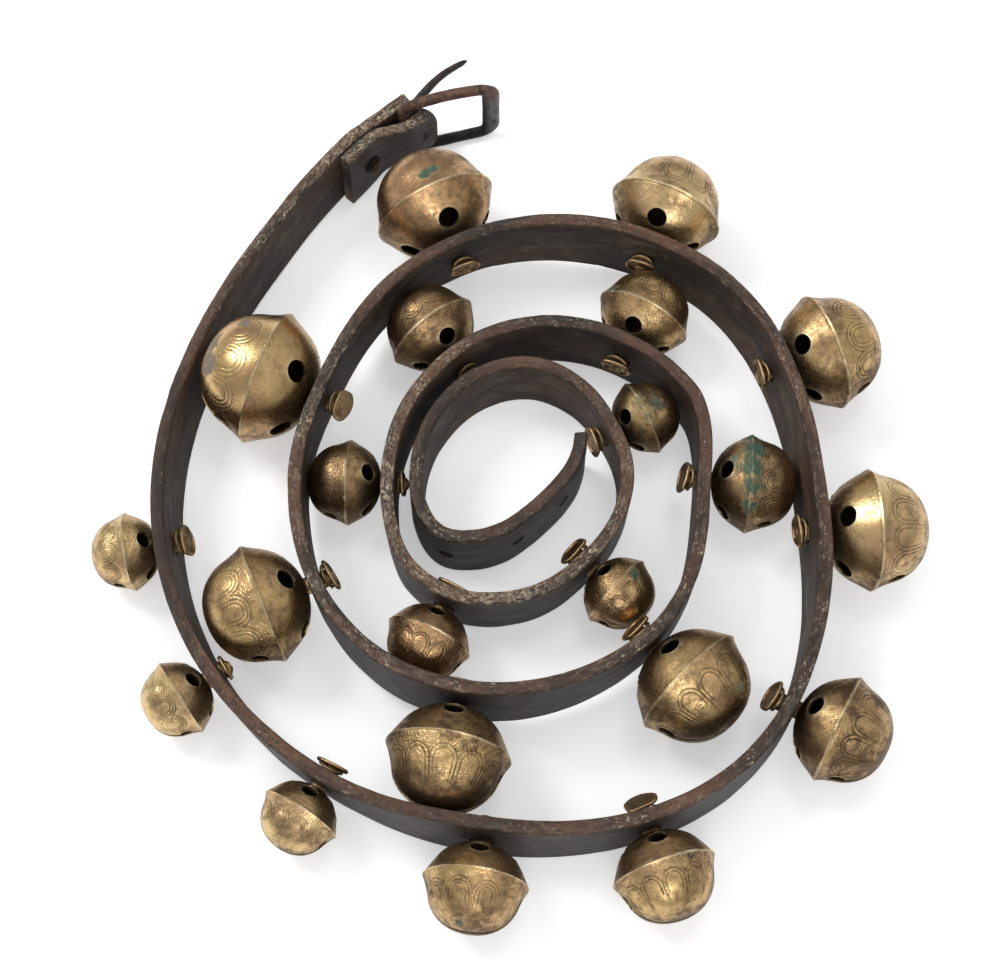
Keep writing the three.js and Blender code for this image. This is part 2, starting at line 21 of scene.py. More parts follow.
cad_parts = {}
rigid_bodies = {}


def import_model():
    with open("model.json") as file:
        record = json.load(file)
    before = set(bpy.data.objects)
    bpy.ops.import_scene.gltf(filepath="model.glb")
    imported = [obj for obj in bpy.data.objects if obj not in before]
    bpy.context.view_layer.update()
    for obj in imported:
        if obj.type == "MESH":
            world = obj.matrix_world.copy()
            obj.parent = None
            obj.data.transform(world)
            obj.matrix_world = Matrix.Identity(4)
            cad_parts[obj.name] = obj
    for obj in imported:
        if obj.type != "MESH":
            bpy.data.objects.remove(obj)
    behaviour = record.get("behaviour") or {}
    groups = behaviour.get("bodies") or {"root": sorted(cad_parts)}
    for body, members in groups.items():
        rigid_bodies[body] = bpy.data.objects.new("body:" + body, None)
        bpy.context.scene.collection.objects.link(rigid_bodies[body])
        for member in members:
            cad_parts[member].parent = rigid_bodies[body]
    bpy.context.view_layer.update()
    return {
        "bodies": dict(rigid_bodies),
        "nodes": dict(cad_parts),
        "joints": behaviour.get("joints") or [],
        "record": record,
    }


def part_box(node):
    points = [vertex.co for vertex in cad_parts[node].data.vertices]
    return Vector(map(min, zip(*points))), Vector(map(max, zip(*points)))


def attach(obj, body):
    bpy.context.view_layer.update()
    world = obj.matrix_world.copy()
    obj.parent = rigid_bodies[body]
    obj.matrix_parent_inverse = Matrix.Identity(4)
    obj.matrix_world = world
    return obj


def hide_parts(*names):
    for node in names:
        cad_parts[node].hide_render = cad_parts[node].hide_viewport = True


log = logging.getLogger("bell_strap")

MM = 0.001
FULL_TURN = 360.0
SHARP_DEG = 50.0
ROUND_FACETS = 20
RING_STEPS = 40
TINY = 1e-6
UPRIGHT = np.array([0.0, 0.0, 1.0])

Array = np.ndarray
Pair = tuple[float, float]
Point = tuple[float, float, float]
Colour = tuple[float, float, float]
Sizes = float | Array
Way = Sequence[float]
Faces = list[list[int]]
Shape = tuple[Array, Faces]
Node = bpy.types.Node
NodeTree = bpy.types.NodeTree
Socket = bpy.types.NodeSocket
Piece = bpy.types.Object
Material = bpy.types.Material


class Slot(str, Enum):
    """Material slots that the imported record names."""

    LEATHER = "leather"
    BRASS = "bell_brass"
    PELLET = "pellet_iron"
    IRON = "iron"
    COPPER = "copper"


class Body(str, Enum):
    """Bodies of the strap and the buckle; each bell and pellet has a numbered body of its own."""

    STRAP = "strap_body"
    FRAME = "frame_body"
    TONGUE = "tongue_body"


# Small helpers for numbers


def smooth(value: Sizes, low: float, high: float) -> Sizes:
    """Return a smooth step from 0 at low to 1 at high, for a number or an array."""
    share = np.clip((value - low) / (high - low), 0, 1)
    return share * share * (3 - 2 * share)


def grain_of(points: Array, size: float, seed: float) -> Array:
    """Sample even noise at points.

    Args:
        points: Places in millimetres, one row each.
        size: Width of a feature in millimetres.
        seed: Shift that gives an own pattern.

    Returns:
        Values from about -1 to 1.
    """
    spots = points / size + seed
    return np.array([noise.noise(Vector(spot)) for spot in spots])


# Meshes


def new_piece(name: str, points: Array, faces: Faces, sharp_deg: float = SHARP_DEG) -> Piece:
    """Make a mesh object from points in millimetres.

    Args:
        name: Name of the piece.
        points: Corners in millimetres.
        faces: Corner numbers of each face.
        sharp_deg: Edges that turn more than this stay crisp.

    Returns:
        The new object, linked to the scene.
    """
    mesh = bpy.data.meshes.new(name)
    mesh.from_pydata((np.asarray(points) * MM).tolist(), [], faces)
    work = bmesh.new()
    work.from_mesh(mesh)
    bmesh.ops.recalc_face_normals(work, faces=work.faces)
    work.to_mesh(mesh)
    work.free()
    finish_shading(mesh, sharp_deg)
    return linked(name, mesh)


def linked(name: str, data: bpy.types.ID) -> Piece:
    """Make an object of some data and link it to the scene.

    Args:
        name: Name of the object.
        data: Its mesh, camera or lamp.

    Returns:
        The object.
    """
    piece = bpy.data.objects.new(name, data)
    bpy.context.scene.collection.objects.link(piece)
    return piece


def finish_shading(mesh: bpy.types.Mesh, sharp_deg: float) -> None:
    """Shade a mesh smoothly and keep its strong edges crisp.

    Args:
        mesh: The mesh.
        sharp_deg: Edges that turn more than this stay crisp.
    """
    mesh.polygons.foreach_set("use_smooth", [True] * len(mesh.polygons))
    mesh.set_sharp_from_angle(angle=math.radians(sharp_deg))
    mesh.update()


def store(piece: Piece, name: str, values: Array) -> None:
    """Keep one number for each corner point of a piece under a name."""
    layer = piece.data.attributes.new(name, "FLOAT", "POINT")
    layer.data.foreach_set("value", np.asarray(values, dtype=np.float32))


def store_places(piece: Piece, name: str, values: Array) -> None:
    """Keep one place for each corner point of a piece under a name."""
    layer = piece.data.attributes.new(name, "FLOAT_VECTOR", "POINT")
    layer.data.foreach_set("vector", np.asarray(values, dtype=np.float32).ravel())


def corners_of(piece: Piece) -> Array:
    """Return the corner points of a piece in its own axes, in millimetres."""
    return np.array([corner.co for corner in piece.data.vertices]) / MM


def placed(along: Way, out: Way, up: Way, place: Vector) -> Matrix:
    """Return the matrix of a piece from its X, Y and Z axes and its place in metres."""
    return Matrix.Translation(place) @ Matrix((along, out, up)).transposed().to_4x4()


def ring_faces(rows: int, size: int, closed: bool = False) -> Faces:
    """Return the faces of a tube.

    Args:
        rows: Number of rings.
        size: Corners of each ring.
        closed: Whether the last ring joins up with the first; if not, both ends are capped.

    Returns:
        Corner numbers of each face.
    """
    faces = []
    for i in range(rows if closed else rows - 1):
        low = i * size
        high = (i + 1) % rows * size
        for k in range(size):
            turn = (k + 1) % size
            faces.append([low + k, low + turn, high + turn, high + k])
    if not closed:
        faces.append(list(range(size)))
        faces.append(list(range((rows - 1) * size, rows * size)))
    return faces


def circle(radius: float) -> tuple[Array, Array]:
    """Return both columns of evenly spaced points round a circle."""
    turns = np.linspace(0, 2 * math.pi, RING_STEPS + 1)[:-1]
    return radius * np.cos(turns), radius * np.sin(turns)


def sweep(path: Array, side: Way, wide: Sizes, high: Sizes, facets: int, closed: bool) -> Shape:
    """Sweep an oval section along a path.

    Args:
        path: Middle points.
        side: Way of the section's first axis, before it is squared to the path.
        wide: Half width along that axis, at each point or everywhere.
        high: Half width square to it, at each point or everywhere.
        facets: Corners round the section.
        closed: Whether the path joins up with itself.

    Returns:
        Points and faces of a closed surface.
    """
    if closed:
        way = np.roll(path, -1, axis=0) - np.roll(path, 1, axis=0)
    else:
        way = np.gradient(path, axis=0)
    way /= np.linalg.norm(way, axis=1, keepdims=True)
    across = side - way * np.sum(np.asarray(side) * way, axis=1, keepdims=True)
    across /= np.linalg.norm(across, axis=1, keepdims=True)
    lift = np.cross(way, across)
    wide = np.broadcast_to(wide, len(path))
    high = np.broadcast_to(high, len(path))
    points = []
    for k in range(facets):
        angle = 2 * math.pi * k / facets
        reach = (wide * math.cos(angle))[:, None]
        rise = (high * math.sin(angle))[:, None]
        points.append(path + across * reach + lift * rise)
    return np.stack(points, axis=1).reshape(-1, 3), ring_faces(len(path), facets, closed)


def joined(parts: Sequence[Shape]) -> Shape:
    """Put several shapes together as one.

    Args:
        parts: Points and faces of each shape.

    Returns:
        Points and faces of all of them.
    """
    points = []
    faces: Faces = []
    start = 0
    for spots, rows in parts:
        points.append(np.asarray(spots))
        faces.extend([[start + k for k in row] for row in rows])
        start += len(spots)
    return np.vstack(points), faces


def turned(profile: Sequence[Pair], facets: int) -> Shape:
    """Turn a profile about Y.

    Args:
        profile: Pairs of radius and y, on the axis at both ends.
        facets: Corners round the axis.

    Returns:
        Points and faces of a closed surface.
    """
    points = [(0.0, profile[0][1], 0.0)]
    for radius, y in profile[1:-1]:
        for k in range(facets):
            angle = 2 * math.pi * k / facets
            points.append((radius * math.cos(angle), y, radius * math.sin(angle)))
    points.append((0.0, profile[-1][1], 0.0))
    rings = len(profile) - 2
    faces: Faces = []
    for k in range(facets):
        turn = (k + 1) % facets
        faces.append([0, 1 + k, 1 + turn])
        for ring in range(rings - 1):
            low = 1 + ring * facets
            faces.append([low + k, low + facets + k, low + facets + turn, low + turn])
        last = 1 + (rings - 1) * facets
        faces.append([len(points) - 1, last + turn, last + k])
    return np.array(points), faces


# Shader nodes


class NodeBench:
    """Adds and links nodes in one node tree. Values given to it are sockets or plain values."""

    def __init__(self, tree: NodeTree) -> None:
        """Keep the tree that the nodes go into."""
        self.tree = tree

    def add(self, kind: str, **settings: object) -> Node:
        """Add a node.

        Args:
            kind: Blender's name of the node.
            **settings: Its plain properties.

        Returns:
            The node.
        """
        node = self.tree.nodes.new(kind)
        for name, value in settings.items():
            setattr(node, name, value)
        return node

    def feed(self, socket: Socket, value: object) -> None:
        """Link a socket to another one, or set its plain value.

        Args:
            socket: The input that is fed.
            value: A socket, a number, a place or a colour.
        """
        if isinstance(value, Socket):
            self.tree.links.new(value, socket)
        elif isinstance(value, tuple) and len(value) == 3 and socket.type == "RGBA":
            socket.default_value = (*value, 1.0)
        else:
            socket.default_value = value

    def fed(self, kind: str, inputs: dict, **settings: object) -> Node:
        """Add a node and feed its inputs.

        Args:
            kind: Blender's name of the node.
            inputs: Value for each input, by its name or number.
            **settings: The node's plain properties.

        Returns:
            The node.
        """
        node = self.add(kind, **settings)
        for key, value in inputs.items():
            self.feed(node.inputs[key], value)
        return node

    def math(self, operation: str, first: object, second: object, clamp: bool) -> Socket:
        """Return the result of a sum on two values."""
        node = self.fed("ShaderNodeMath", {0: first, 1: second}, operation=operation, use_clamp=clamp)
        return node.outputs[0]

    def plus(self, first: object, second: object, clamp: bool = False) -> Socket:
        """Return two values added."""
        return self.math("ADD", first, second, clamp)

    def total(self, start: object, *shares: tuple[Socket, float], clamp: bool = False) -> Socket:
        """Return a value with shares of others added.

        Args:
            start: The first value.
            *shares: Other values, each with its share.
            clamp: Whether the last sum is kept between 0 and 1.

        Returns:
            The sum's socket.
        """
        for k, (value, share) in enumerate(shares, start=1):
            start = self.plus(start, self.times(value, share), clamp and k == len(shares))
        return start

    def minus(self, first: object, second: object) -> Socket:
        """Return the first value less the second."""
        return self.math("SUBTRACT", first, second, False)

    def times(self, first: object, second: object, clamp: bool = False) -> Socket:
        """Return two values multiplied."""
        return self.math("MULTIPLY", first, second, clamp)

    def most(self, first: object, second: object) -> Socket:
        """Return the greater of two values."""
        return self.math("MAXIMUM", first, second, False)

    def blend(self, share: object, first: object, second: object) -> Socket:
        """Return a colour between two colours, by the share of the second."""
        node = self.fed("ShaderNodeMix", {0: share, 6: first, 7: second}, data_type="RGBA")
        return node.outputs[2]

    def span(self, value: object, low: float, high: float, start: float = 0.0, end: float = 1.0) -> Socket:
        """Return a value eased from the range low to high into the range start to end."""
        inputs = {"Value": value, "From Min": low, "From Max": high, "To Min": start, "To Max": end}
        return self.fed("ShaderNodeMapRange", inputs, interpolation_type="SMOOTHSTEP").outputs["Result"]

    def noise(self, place: object, scale: object, detail: float, rough: float) -> Socket:
        """Return cloudy noise around 0.5, with a scale in features to the metre."""
        inputs = {"Vector": place, "Scale": scale, "Detail": detail, "Roughness": rough}
        return self.fed("ShaderNodeTexNoise", inputs).outputs[0]

    def cells(self, place: object, scale: object, feature: str = "F1") -> Socket:
        """Return the distance to the nearest of scattered points, or to the edge between two."""
        node = self.fed("ShaderNodeTexVoronoi", {"Vector": place, "Scale": scale}, feature=feature)
        return node.outputs["Distance"]

    def stored(self, name: str, as_place: bool = False) -> Socket:
        """Return what the mesh keeps under a name."""
        node = self.add("ShaderNodeAttribute", attribute_name=name)
        return node.outputs["Vector" if as_place else "Fac"]

    def own_place(self, shift: float) -> Socket:
        """Return the place in the piece's own axes, shifted so that no two finishes share a pattern."""
        inputs = {0: self.add("ShaderNodeTexCoord").outputs["Object"], 1: (shift, 2 * shift, -shift)}
        return self.fed("ShaderNodeVectorMath", inputs, operation="ADD").outputs[0]

    def stretched(self, place: object, shares: Point) -> Socket:
        """Return a place scaled along its three axes; a small share draws a pattern out."""
        return self.fed("ShaderNodeVectorMath", {0: place, 1: shares}, operation="MULTIPLY").outputs[0]

    def bump(self, height: object, depth: float, strength: float) -> Socket:
        """Return the normal of a surface with a fine relief of a depth in metres."""
        inputs = {"Height": height, "Distance": depth, "Strength": strength}
        return self.fed("ShaderNodeBump", inputs).outputs["Normal"]

    def place_group(self, group: NodeTree, **values: object) -> Node:
        """Place a shared group and feed its named inputs."""
        return self.fed("ShaderNodeGroup", values, node_tree=group)


GroupFill = Callable[[NodeBench, Node], dict[str, Socket]]


class SharedEffects:
    """Node groups that several finishes use, each made once."""

    def __init__(self) -> None:
        """Make all the groups."""
        self.mottle = self._group("weather_mottle", ["Scale"], ["Broad", "Fine"], self._make_mottle)
        self.pits = self._group("cast_pits", ["Scale", "Amount"], ["Mask"], self._make_pits)
        self.verdigris = self._group("verdigris_growth", ["Spread"], ["Mask", "Pale"], self._make_verdigris)
        self.rubbed = self._group("rubbed_edge", ["Edge", "Amount"], ["Mask"], self._make_rubbed)

    @staticmethod
    def _group(name: str, values: list[str], results: list[str], fill: GroupFill) -> NodeTree:
        """Make one group.

        Args:
            name: Name of the group.
            values: Names of its number inputs, beside Place.
            results: Names of its number outputs.
            fill: Function that builds the inside and returns a socket for each output.

        Returns:
            The finished group.
        """
        tree = bpy.data.node_groups.new(name, "ShaderNodeTree")
        tree.interface.new_socket("Place", in_out="INPUT", socket_type="NodeSocketVector")
        for value in values:
            tree.interface.new_socket(value, in_out="INPUT", socket_type="NodeSocketFloat")
        for result in results:
            tree.interface.new_socket(result, in_out="OUTPUT", socket_type="NodeSocketFloat")
        bench = NodeBench(tree)
        inside = bench.add("NodeGroupInput")
        outside = bench.add("NodeGroupOutput")
        for result, socket in fill(bench, inside).items():
            bench.feed(outside.inputs[result], socket)
        return tree

    @staticmethod
    def _make_mottle(bench: NodeBench, inside: Node) -> dict[str, Socket]:
        """Cloudy change of tone at two sizes.

        Args:
            bench: Bench of the group's tree.
            inside: The group's input node.

        Returns:
            A socket for each output.
        """
        place = inside.outputs["Place"]
        scale = inside.outputs["Scale"]
        broad = bench.noise(place, scale, 5, 0.6)
        fine = bench.noise(place, bench.times(scale, 7.0), 6, 0.65)
        return {"Broad": bench.span(broad, 0.36, 0.66), "Fine": bench.span(fine, 0.34, 0.68)}

    @staticmethod
    def _make_pits(bench: NodeBench, inside: Node) -> dict[str, Socket]:
        """Small scattered pits, gathered in patches.

        Args:
            bench: Bench of the group's tree.
            inside: The group's input node.

        Returns:
            A socket for each output.
        """
        place = inside.outputs["Place"]
        scale = inside.outputs["Scale"]
        dots = bench.span(bench.cells(place, scale), 0.1, 0.36, 1.0, 0.0)
        where = bench.noise(place, bench.times(scale, 0.09), 3, 0.6)
        patch = bench.span(where, 0.46, 0.66)
        mask = bench.times(dots, patch)
        return {"Mask": bench.times(mask, inside.outputs["Amount"], clamp=True)}

    @staticmethod
    def _make_verdigris(bench: NodeBench, inside: Node) -> dict[str, Socket]:
        """Green growth with a ragged edge where the spread allows it.

        Args:
            bench: Bench of the group's tree.
            inside: The group's input node.

        Returns:
            A socket for each output.
        """
        place = inside.outputs["Place"]
        ragged = bench.noise(bench.stretched(place, (0.35, 1.0, 0.6)), 520.0, 7, 0.75)
        ragged = bench.span(ragged, 0.36, 0.64, 0.2, 0.8)
        level = bench.plus(inside.outputs["Spread"], ragged)
        mask = bench.span(level, 0.86, 1.52, 0.0, 0.92)
        pale = bench.span(bench.noise(place, 800.0, 3, 0.6), 0.46, 0.74)
        return {"Mask": mask, "Pale": pale}

    @staticmethod
    def _make_rubbed(bench: NodeBench, inside: Node) -> dict[str, Socket]:
        """Bare metal or pale fibre where an edge has been rubbed.

        Args:
            bench: Bench of the group's tree.
            inside: The group's input node.

        Returns:
            A socket for each output.
        """
        place = inside.outputs["Place"]
        broken = bench.noise(place, 260.0, 5, 0.65)
        level = bench.times(inside.outputs["Edge"], bench.span(broken, 0.3, 0.62))
        return {"Mask": bench.times(level, inside.outputs["Amount"], clamp=True)}


def new_material(name: str) -> tuple[Material, NodeBench, Node]:
    """Make an empty material with its Principled shader.

    Args:
        name: Name of the material.

    Returns:
        The material, a bench for its tree, and the shader node.
    """
    material = bpy.data.materials.new(name)
    material.use_nodes = True
    shader = material.node_tree.nodes["Principled BSDF"]
    return material, NodeBench(material.node_tree), shader


# Finishes


@dataclass(frozen=True)
class AgedBrass:
    """Cast bell brass with brown patina, rubbed ridges, dark grooves and green growth; painted shade darkens
    its lower sides, its inside and a line beside the ridge, and the hole rims carry wear and a painted
    highlight.
    """

    name: str
    seed: float
    bright: Colour = (0.75, 0.515, 0.235)
    worn: Colour = (0.9, 0.73, 0.46)
    copper: Colour = (0.52, 0.3, 0.175)
    patina: Colour = (0.18, 0.114, 0.064)
    # Dark grime for grooves and pits, also used as painted shade inside the bell
    grime_and_shade: Colour = (0.024, 0.018, 0.013)
    stain: Colour = (0.2, 0.16, 0.112)
    green: Colour = (0.01, 0.07, 0.048)
    pale_green: Colour = (0.03, 0.16, 0.112)
    age: float = 0.5
    shine: float = 0.2
    pitting: float = 0.85
    skin: float = 1.0
    # Features to the metre, and depth of the relief in metres
    tone_scale: float = 75.0
    pit_scale: float = 1000.0
    grit_scale: float = 1300.0
    tarnish_scale: float = 300.0
    blush_scale: float = 48.0
    skin_scale: float = 620.0
    relief_depth: float = 0.0002

    def make(self, effects: SharedEffects) -> Material:
        """Build the material.

        Args:
            effects: The shared node groups.

        Returns:
            The material.
        """
        material, bench, shader = new_material(self.name)
        place = bench.own_place(self.seed)
        mottle = bench.place_group(effects.mottle, Place=place, Scale=self.tone_scale)
        pits = bench.place_group(effects.pits, Place=place, Scale=self.pit_scale, Amount=self.pitting)
        ridge = bench.place_group(effects.rubbed, Place=place, Edge=bench.stored("ridge"), Amount=0.95)
        growth = bench.place_group(effects.verdigris, Place=place, Spread=bench.stored("verdigris"))
        # The dark lines are dirt in the engraved grooves and a painted shadow beside the ridge
        line = bench.span(bench.stored("petal"), 0.35, 1.15, 1.0, 0.0)
        groove_and_shade = bench.times(line, bench.stored("groove_and_shade"))
        stipple = bench.stored("stipple")
        grit = bench.noise(place, self.grit_scale, 2, 0.5)
        hollow = bench.stored("hollow")
        under = bench.stored("under")

        fine = mottle.outputs["Fine"]
        toned = bench.total(bench.times(mottle.outputs["Broad"], 0.72), (fine, 0.26))
        tarnish = bench.span(bench.noise(place, self.tarnish_scale, 7, 0.74), 0.42, 0.62, -0.13, 0.17)
        age_and_shade = bench.plus(bench.plus(toned, tarnish), self.age - 0.6)
        # Painted shade: skin that faces down, and the inside of the shell, are pushed towards the patina
        # colour
        age_and_shade = bench.total(age_and_shade, (under, 0.58), (hollow, 0.45), clamp=True)
        blush = bench.span(bench.noise(place, self.blush_scale, 4, 0.6), 0.44, 0.62, 0.0, 0.5)
        colour = bench.blend(blush, self.bright, self.copper)
        colour = bench.blend(age_and_shade, colour, self.patina)
        pit_dirt = bench.times(pits.outputs["Mask"], 0.75)
        dirt_and_shade = bench.most(bench.times(groove_and_shade, 0.92), pit_dirt)
        # Painted shade with some grime: the inside of the shell, the shank and the fittings are darkened
        dirt_and_shade = bench.most(dirt_and_shade, bench.times(hollow, 0.65))
        colour = bench.blend(dirt_and_shade, colour, self.grime_and_shade)
        blotch = bench.plus(bench.stored("stain"), bench.noise(place, self.tarnish_scale, 6, 0.7))
        stained = bench.span(blotch, 0.98, 1.12)
        colour = bench.blend(stained, colour, self.stain)
        colour = bench.blend(ridge.outputs["Mask"], colour, self.worn)
        leaf = bench.blend(growth.outputs["Pale"], self.green, self.pale_green)
        colour = bench.blend(growth.outputs["Mask"], colour, leaf)
        bench.feed(shader.inputs["Base Color"], colour)

        dull = bench.most(bench.times(stained, 0.85), growth.outputs["Mask"])
        bench.feed(shader.inputs["Metallic"], bench.minus(1.0, dull))
        rough = bench.total(self.shine, (age_and_shade, 0.2), (fine, 0.1), (dirt_and_shade, 0.25), (dull, 0.35), clamp=True)
        bench.feed(shader.inputs["Roughness"], rough)

        skin = bench.times(bench.noise(place, self.skin_scale, 6, 0.74), self.skin)
        punched = bench.times(grit, stipple)
        relief = bench.total(skin, (pits.outputs["Mask"], -0.8), (groove_and_shade, -0.4), (punched, 4.0))
        relief = bench.total(relief, (growth.outputs["Mask"], 0.7))
        bench.feed(shader.inputs["Normal"], bench.bump(relief, self.relief_depth, 0.8))
        return material


@dataclass(frozen=True)
class HarnessLeather:
    """Old black-brown harness leather: dark grain side, brown flesh side, pale scuffed edges."""

    name: str = "harness_leather"
    grain_side: Colour = (0.031, 0.0258, 0.0235)
    flesh_side: Colour = (0.024, 0.0158, 0.0118)
    red_flesh: Colour = (0.062, 0.033, 0.0215)
    tan: Colour = (0.15, 0.112, 0.07)
    edge: Colour = (0.036, 0.026, 0.021)
    red_edge: Colour = (0.128, 0.063, 0.038)
    scuff: Colour = (0.3, 0.24, 0.175)
    fleck: Colour = (0.55, 0.46, 0.33)
    dust: Colour = (0.085, 0.072, 0.06)
    gloss: float = 0.42
    # Features to the metre, and depth of the relief in metres
    tone_scale: float = 90.0
    warm_scale: float = 34.0
    scuff_scale: float = 240.0
    rub_scale: float = 130.0
    scar_scale: float = 620.0
    drag_scale: float = 520.0
    fleck_scale: float = 1000.0
    patch_scale: float = 60.0
    grain_scale: float = 1100.0
    fibre_scale: float = 1500.0
    crack_scale: float = 330.0
    relief_depth: float = 0.00035

    def make(self, effects: SharedEffects) -> Material:
        """Build the material.

        Args:
            effects: The shared node groups.

        Returns:
            The material.
        """
        material, bench, shader = new_material(self.name)
        lay = bench.stored("lay", as_place=True)
        edge = bench.stored("edge")
        flesh = bench.stored("flesh")
        worn = bench.stored("worn")
        arris = bench.stored("arris")
        streak = bench.stretched(lay, (0.22, 1.0, 1.0))
        mottle = bench.place_group(effects.mottle, Place=streak, Scale=self.tone_scale)
        amount = bench.span(worn, 0.05, 0.6, 0.3, 1.0)
        rubbed = bench.place_group(effects.rubbed, Place=lay, Edge=edge, Amount=amount)

        warm = bench.span(bench.noise(streak, self.warm_scale, 4, 0.6), 0.44, 0.64)
        inner = bench.blend(warm, self.flesh_side, self.red_flesh)
        side = bench.blend(flesh, self.grain_side, inner)
        scuffs = bench.span(bench.noise(streak, self.scuff_scale, 7, 0.72), 0.47, 0.66)
        dusty = bench.times(scuffs, bench.times(mottle.outputs["Broad"], 0.95))
        side = bench.blend(dusty, side, self.dust)
        rubs = bench.noise(bench.stretched(lay, (0.5, 1.0, 1.0)), self.rub_scale, 7, 0.7)
        rubs = bench.span(rubs, 0.5, 0.68, 0.0, 0.6)
        side = bench.blend(bench.times(rubs, flesh), side, self.tan)
        brim = bench.blend(mottle.outputs["Broad"], self.edge, self.red_edge)
        scar = bench.span(bench.noise(lay, self.scar_scale, 5, 0.7), 0.36, 0.5, 0.75, 0.0)
        brim = bench.blend(scar, brim, self.grain_side)
        colour = bench.blend(edge, side, brim)
        dragged = bench.noise(bench.stretched(lay, (0.4, 1.0, 1.0)), self.drag_scale, 6, 0.72)
        dragged = bench.span(dragged, 0.48, 0.63)
        corner_wear = bench.most(bench.times(edge, 0.45), bench.times(arris, 0.9))
        dragged = bench.times(dragged, bench.times(corner_wear, worn), clamp=True)
        colour = bench.blend(dragged, colour, self.scuff)
        grainy = bench.noise(bench.stretched(lay, (0.6, 1.0, 1.0)), self.fleck_scale, 6, 0.72)
        shift = bench.times(bench.minus(worn, 0.9), 0.12)
        speck = bench.span(bench.plus(grainy, shift), 0.48, 0.6)
        patch = bench.span(bench.noise(lay, self.patch_scale, 5, 0.65), 0.44, 0.6, 0.05, 1.0)
        patch = bench.most(patch, bench.span(worn, 0.65, 1.1))
        pale = bench.times(bench.times(rubbed.outputs["Mask"], speck), patch, clamp=True)
        colour = bench.blend(pale, colour, self.fleck)
        bench.feed(shader.inputs["Base Color"], colour)

        shader.inputs["Specular IOR Level"].default_value = self.gloss
        rough = bench.total(0.4, (mottle.outputs["Fine"], 0.16), (edge, 0.22), (flesh, 0.14), clamp=True)
        bench.feed(shader.inputs["Roughness"], rough)

        grain = bench.cells(lay, self.grain_scale)
        fibre = bench.noise(streak, self.fibre_scale, 5, 0.7)
        crazed = bench.cells(bench.stretched(lay, (1.0, 1.0, 0.35)), self.crack_scale, "DISTANCE_TO_EDGE")
        crack = bench.span(crazed, 0.0, 0.07)
        hacked = bench.times(bench.noise(lay, self.scar_scale, 5, 0.7), edge)
        relief = bench.total(bench.times(grain, 0.5), (fibre, 0.6), (crack, 0.25), (hacked, 1.8))
        bench.feed(shader.inputs["Normal"], bench.bump(relief, self.relief_depth, 0.75))
        return material


@dataclass(frozen=True)
class RustedIron:
    """Forged iron with brown rust where rust is kept, and dark scale elsewhere."""

    name: str
    rust_share: float
    rust: Colour = (0.105, 0.05, 0.034)
    fresh_rust: Colour = (0.3, 0.15, 0.09)
    scab: Colour = (0.034, 0.024, 0.02)
    scale: Colour = (0.021, 0.019, 0.0185)
    bare: Colour = (0.36, 0.345, 0.33)
    pattern_shift: float = 0.3
    # Features to the metre, and depth of the relief in metres
    tone_scale: float = 120.0
    pit_scale: float = 700.0
    scab_scale: float = 330.0
    skin_scale: float = 900.0
    relief_depth: float = 0.0005

    def make(self, effects: SharedEffects) -> Material:
        """Build the material.

        Args:
            effects: The shared node groups.

        Returns:
            The material.
        """
        material, bench, shader = new_material(self.name)
        place = bench.own_place(self.pattern_shift)
        mottle = bench.place_group(effects.mottle, Place=place, Scale=self.tone_scale)
        pits = bench.place_group(effects.pits, Place=place, Scale=self.pit_scale, Amount=1.0)
        wear = bench.place_group(effects.rubbed, Place=place, Edge=bench.stored("ridge"), Amount=0.7)
        kept = bench.times(bench.stored("rust"), self.rust_share)
        rusty = bench.times(kept, bench.span(mottle.outputs["Broad"], 0.0, 0.7, 0.45, 1.0))
        tint = bench.blend(mottle.outputs["Fine"], self.rust, self.fresh_rust)
        tint = bench.blend(bench.times(mottle.outputs["Broad"], 0.6), tint, self.rust)
        colour = bench.blend(rusty, self.scale, tint)
        scab = bench.span(bench.noise(place, self.scab_scale, 6, 0.72), 0.5, 0.62, 0.0, 0.85)
        colour = bench.blend(scab, colour, self.scab)
        colour = bench.blend(bench.times(pits.outputs["Mask"], 0.7), colour, self.scale)
        # Bare metal where rubbed; on the tongue's top it is partly a painted highlight
        colour = bench.blend(wear.outputs["Mask"], colour, self.bare)
        bench.feed(shader.inputs["Base Color"], colour)
        bench.feed(shader.inputs["Metallic"], bench.minus(0.75, bench.times(rusty, 0.6)))
        bench.feed(shader.inputs["Roughness"], bench.total(0.33, (rusty, 0.27), (scab, -0.14)))
        skin = bench.noise(place, self.skin_scale, 6, 0.7)
        relief = bench.total(skin, (pits.outputs["Mask"], -0.6), (scab, -0.5))
        bench.feed(shader.inputs["Normal"], bench.bump(relief, self.relief_depth, 0.85))
        return material


@dataclass(frozen=True)
class DullCopper:
    """Copper gone brown, with darker grime in its pits."""

    name: str
    bright: Colour = (0.17, 0.085, 0.055)
    brown: Colour = (0.032, 0.021, 0.016)
    metal: float = 0.85
    pattern_shift: float = 0.7
    # Features to the metre, and depth of the relief in metres
    tone_scale: float = 350.0
    pit_scale: float = 1200.0
    relief_depth: float = 0.0002

    def make(self, effects: SharedEffects) -> Material:
        """Build the material.

        Args:
            effects: The shared node groups.

        Returns:
            The material.
        """
        material, bench, shader = new_material(self.name)
        place = bench.own_place(self.pattern_shift)
        mottle = bench.place_group(effects.mottle, Place=place, Scale=self.tone_scale)
        pits = bench.place_group(effects.pits, Place=place, Scale=self.pit_scale, Amount=1.0)
        colour = bench.blend(mottle.outputs["Broad"], self.brown, self.bright)
        colour = bench.blend(pits.outputs["Mask"], colour, self.brown)
        bench.feed(shader.inputs["Base Color"], colour)
        shader.inputs["Metallic"].default_value = self.metal
        fine = mottle.outputs["Fine"]
        bench.feed(shader.inputs["Roughness"], bench.total(0.4, (fine, 0.25)))
        bench.feed(shader.inputs["Normal"], bench.bump(fine, self.relief_depth, 0.7))
        return material


# Winding of the strap


@dataclass(frozen=True)
class BellPlace:
    """One bell: its winding, ridge, nose tilt, strap lean and room to the next turn; angles in degrees."""

    at: float
    ridge: float
    tilt: float
    lean: float
    room: float


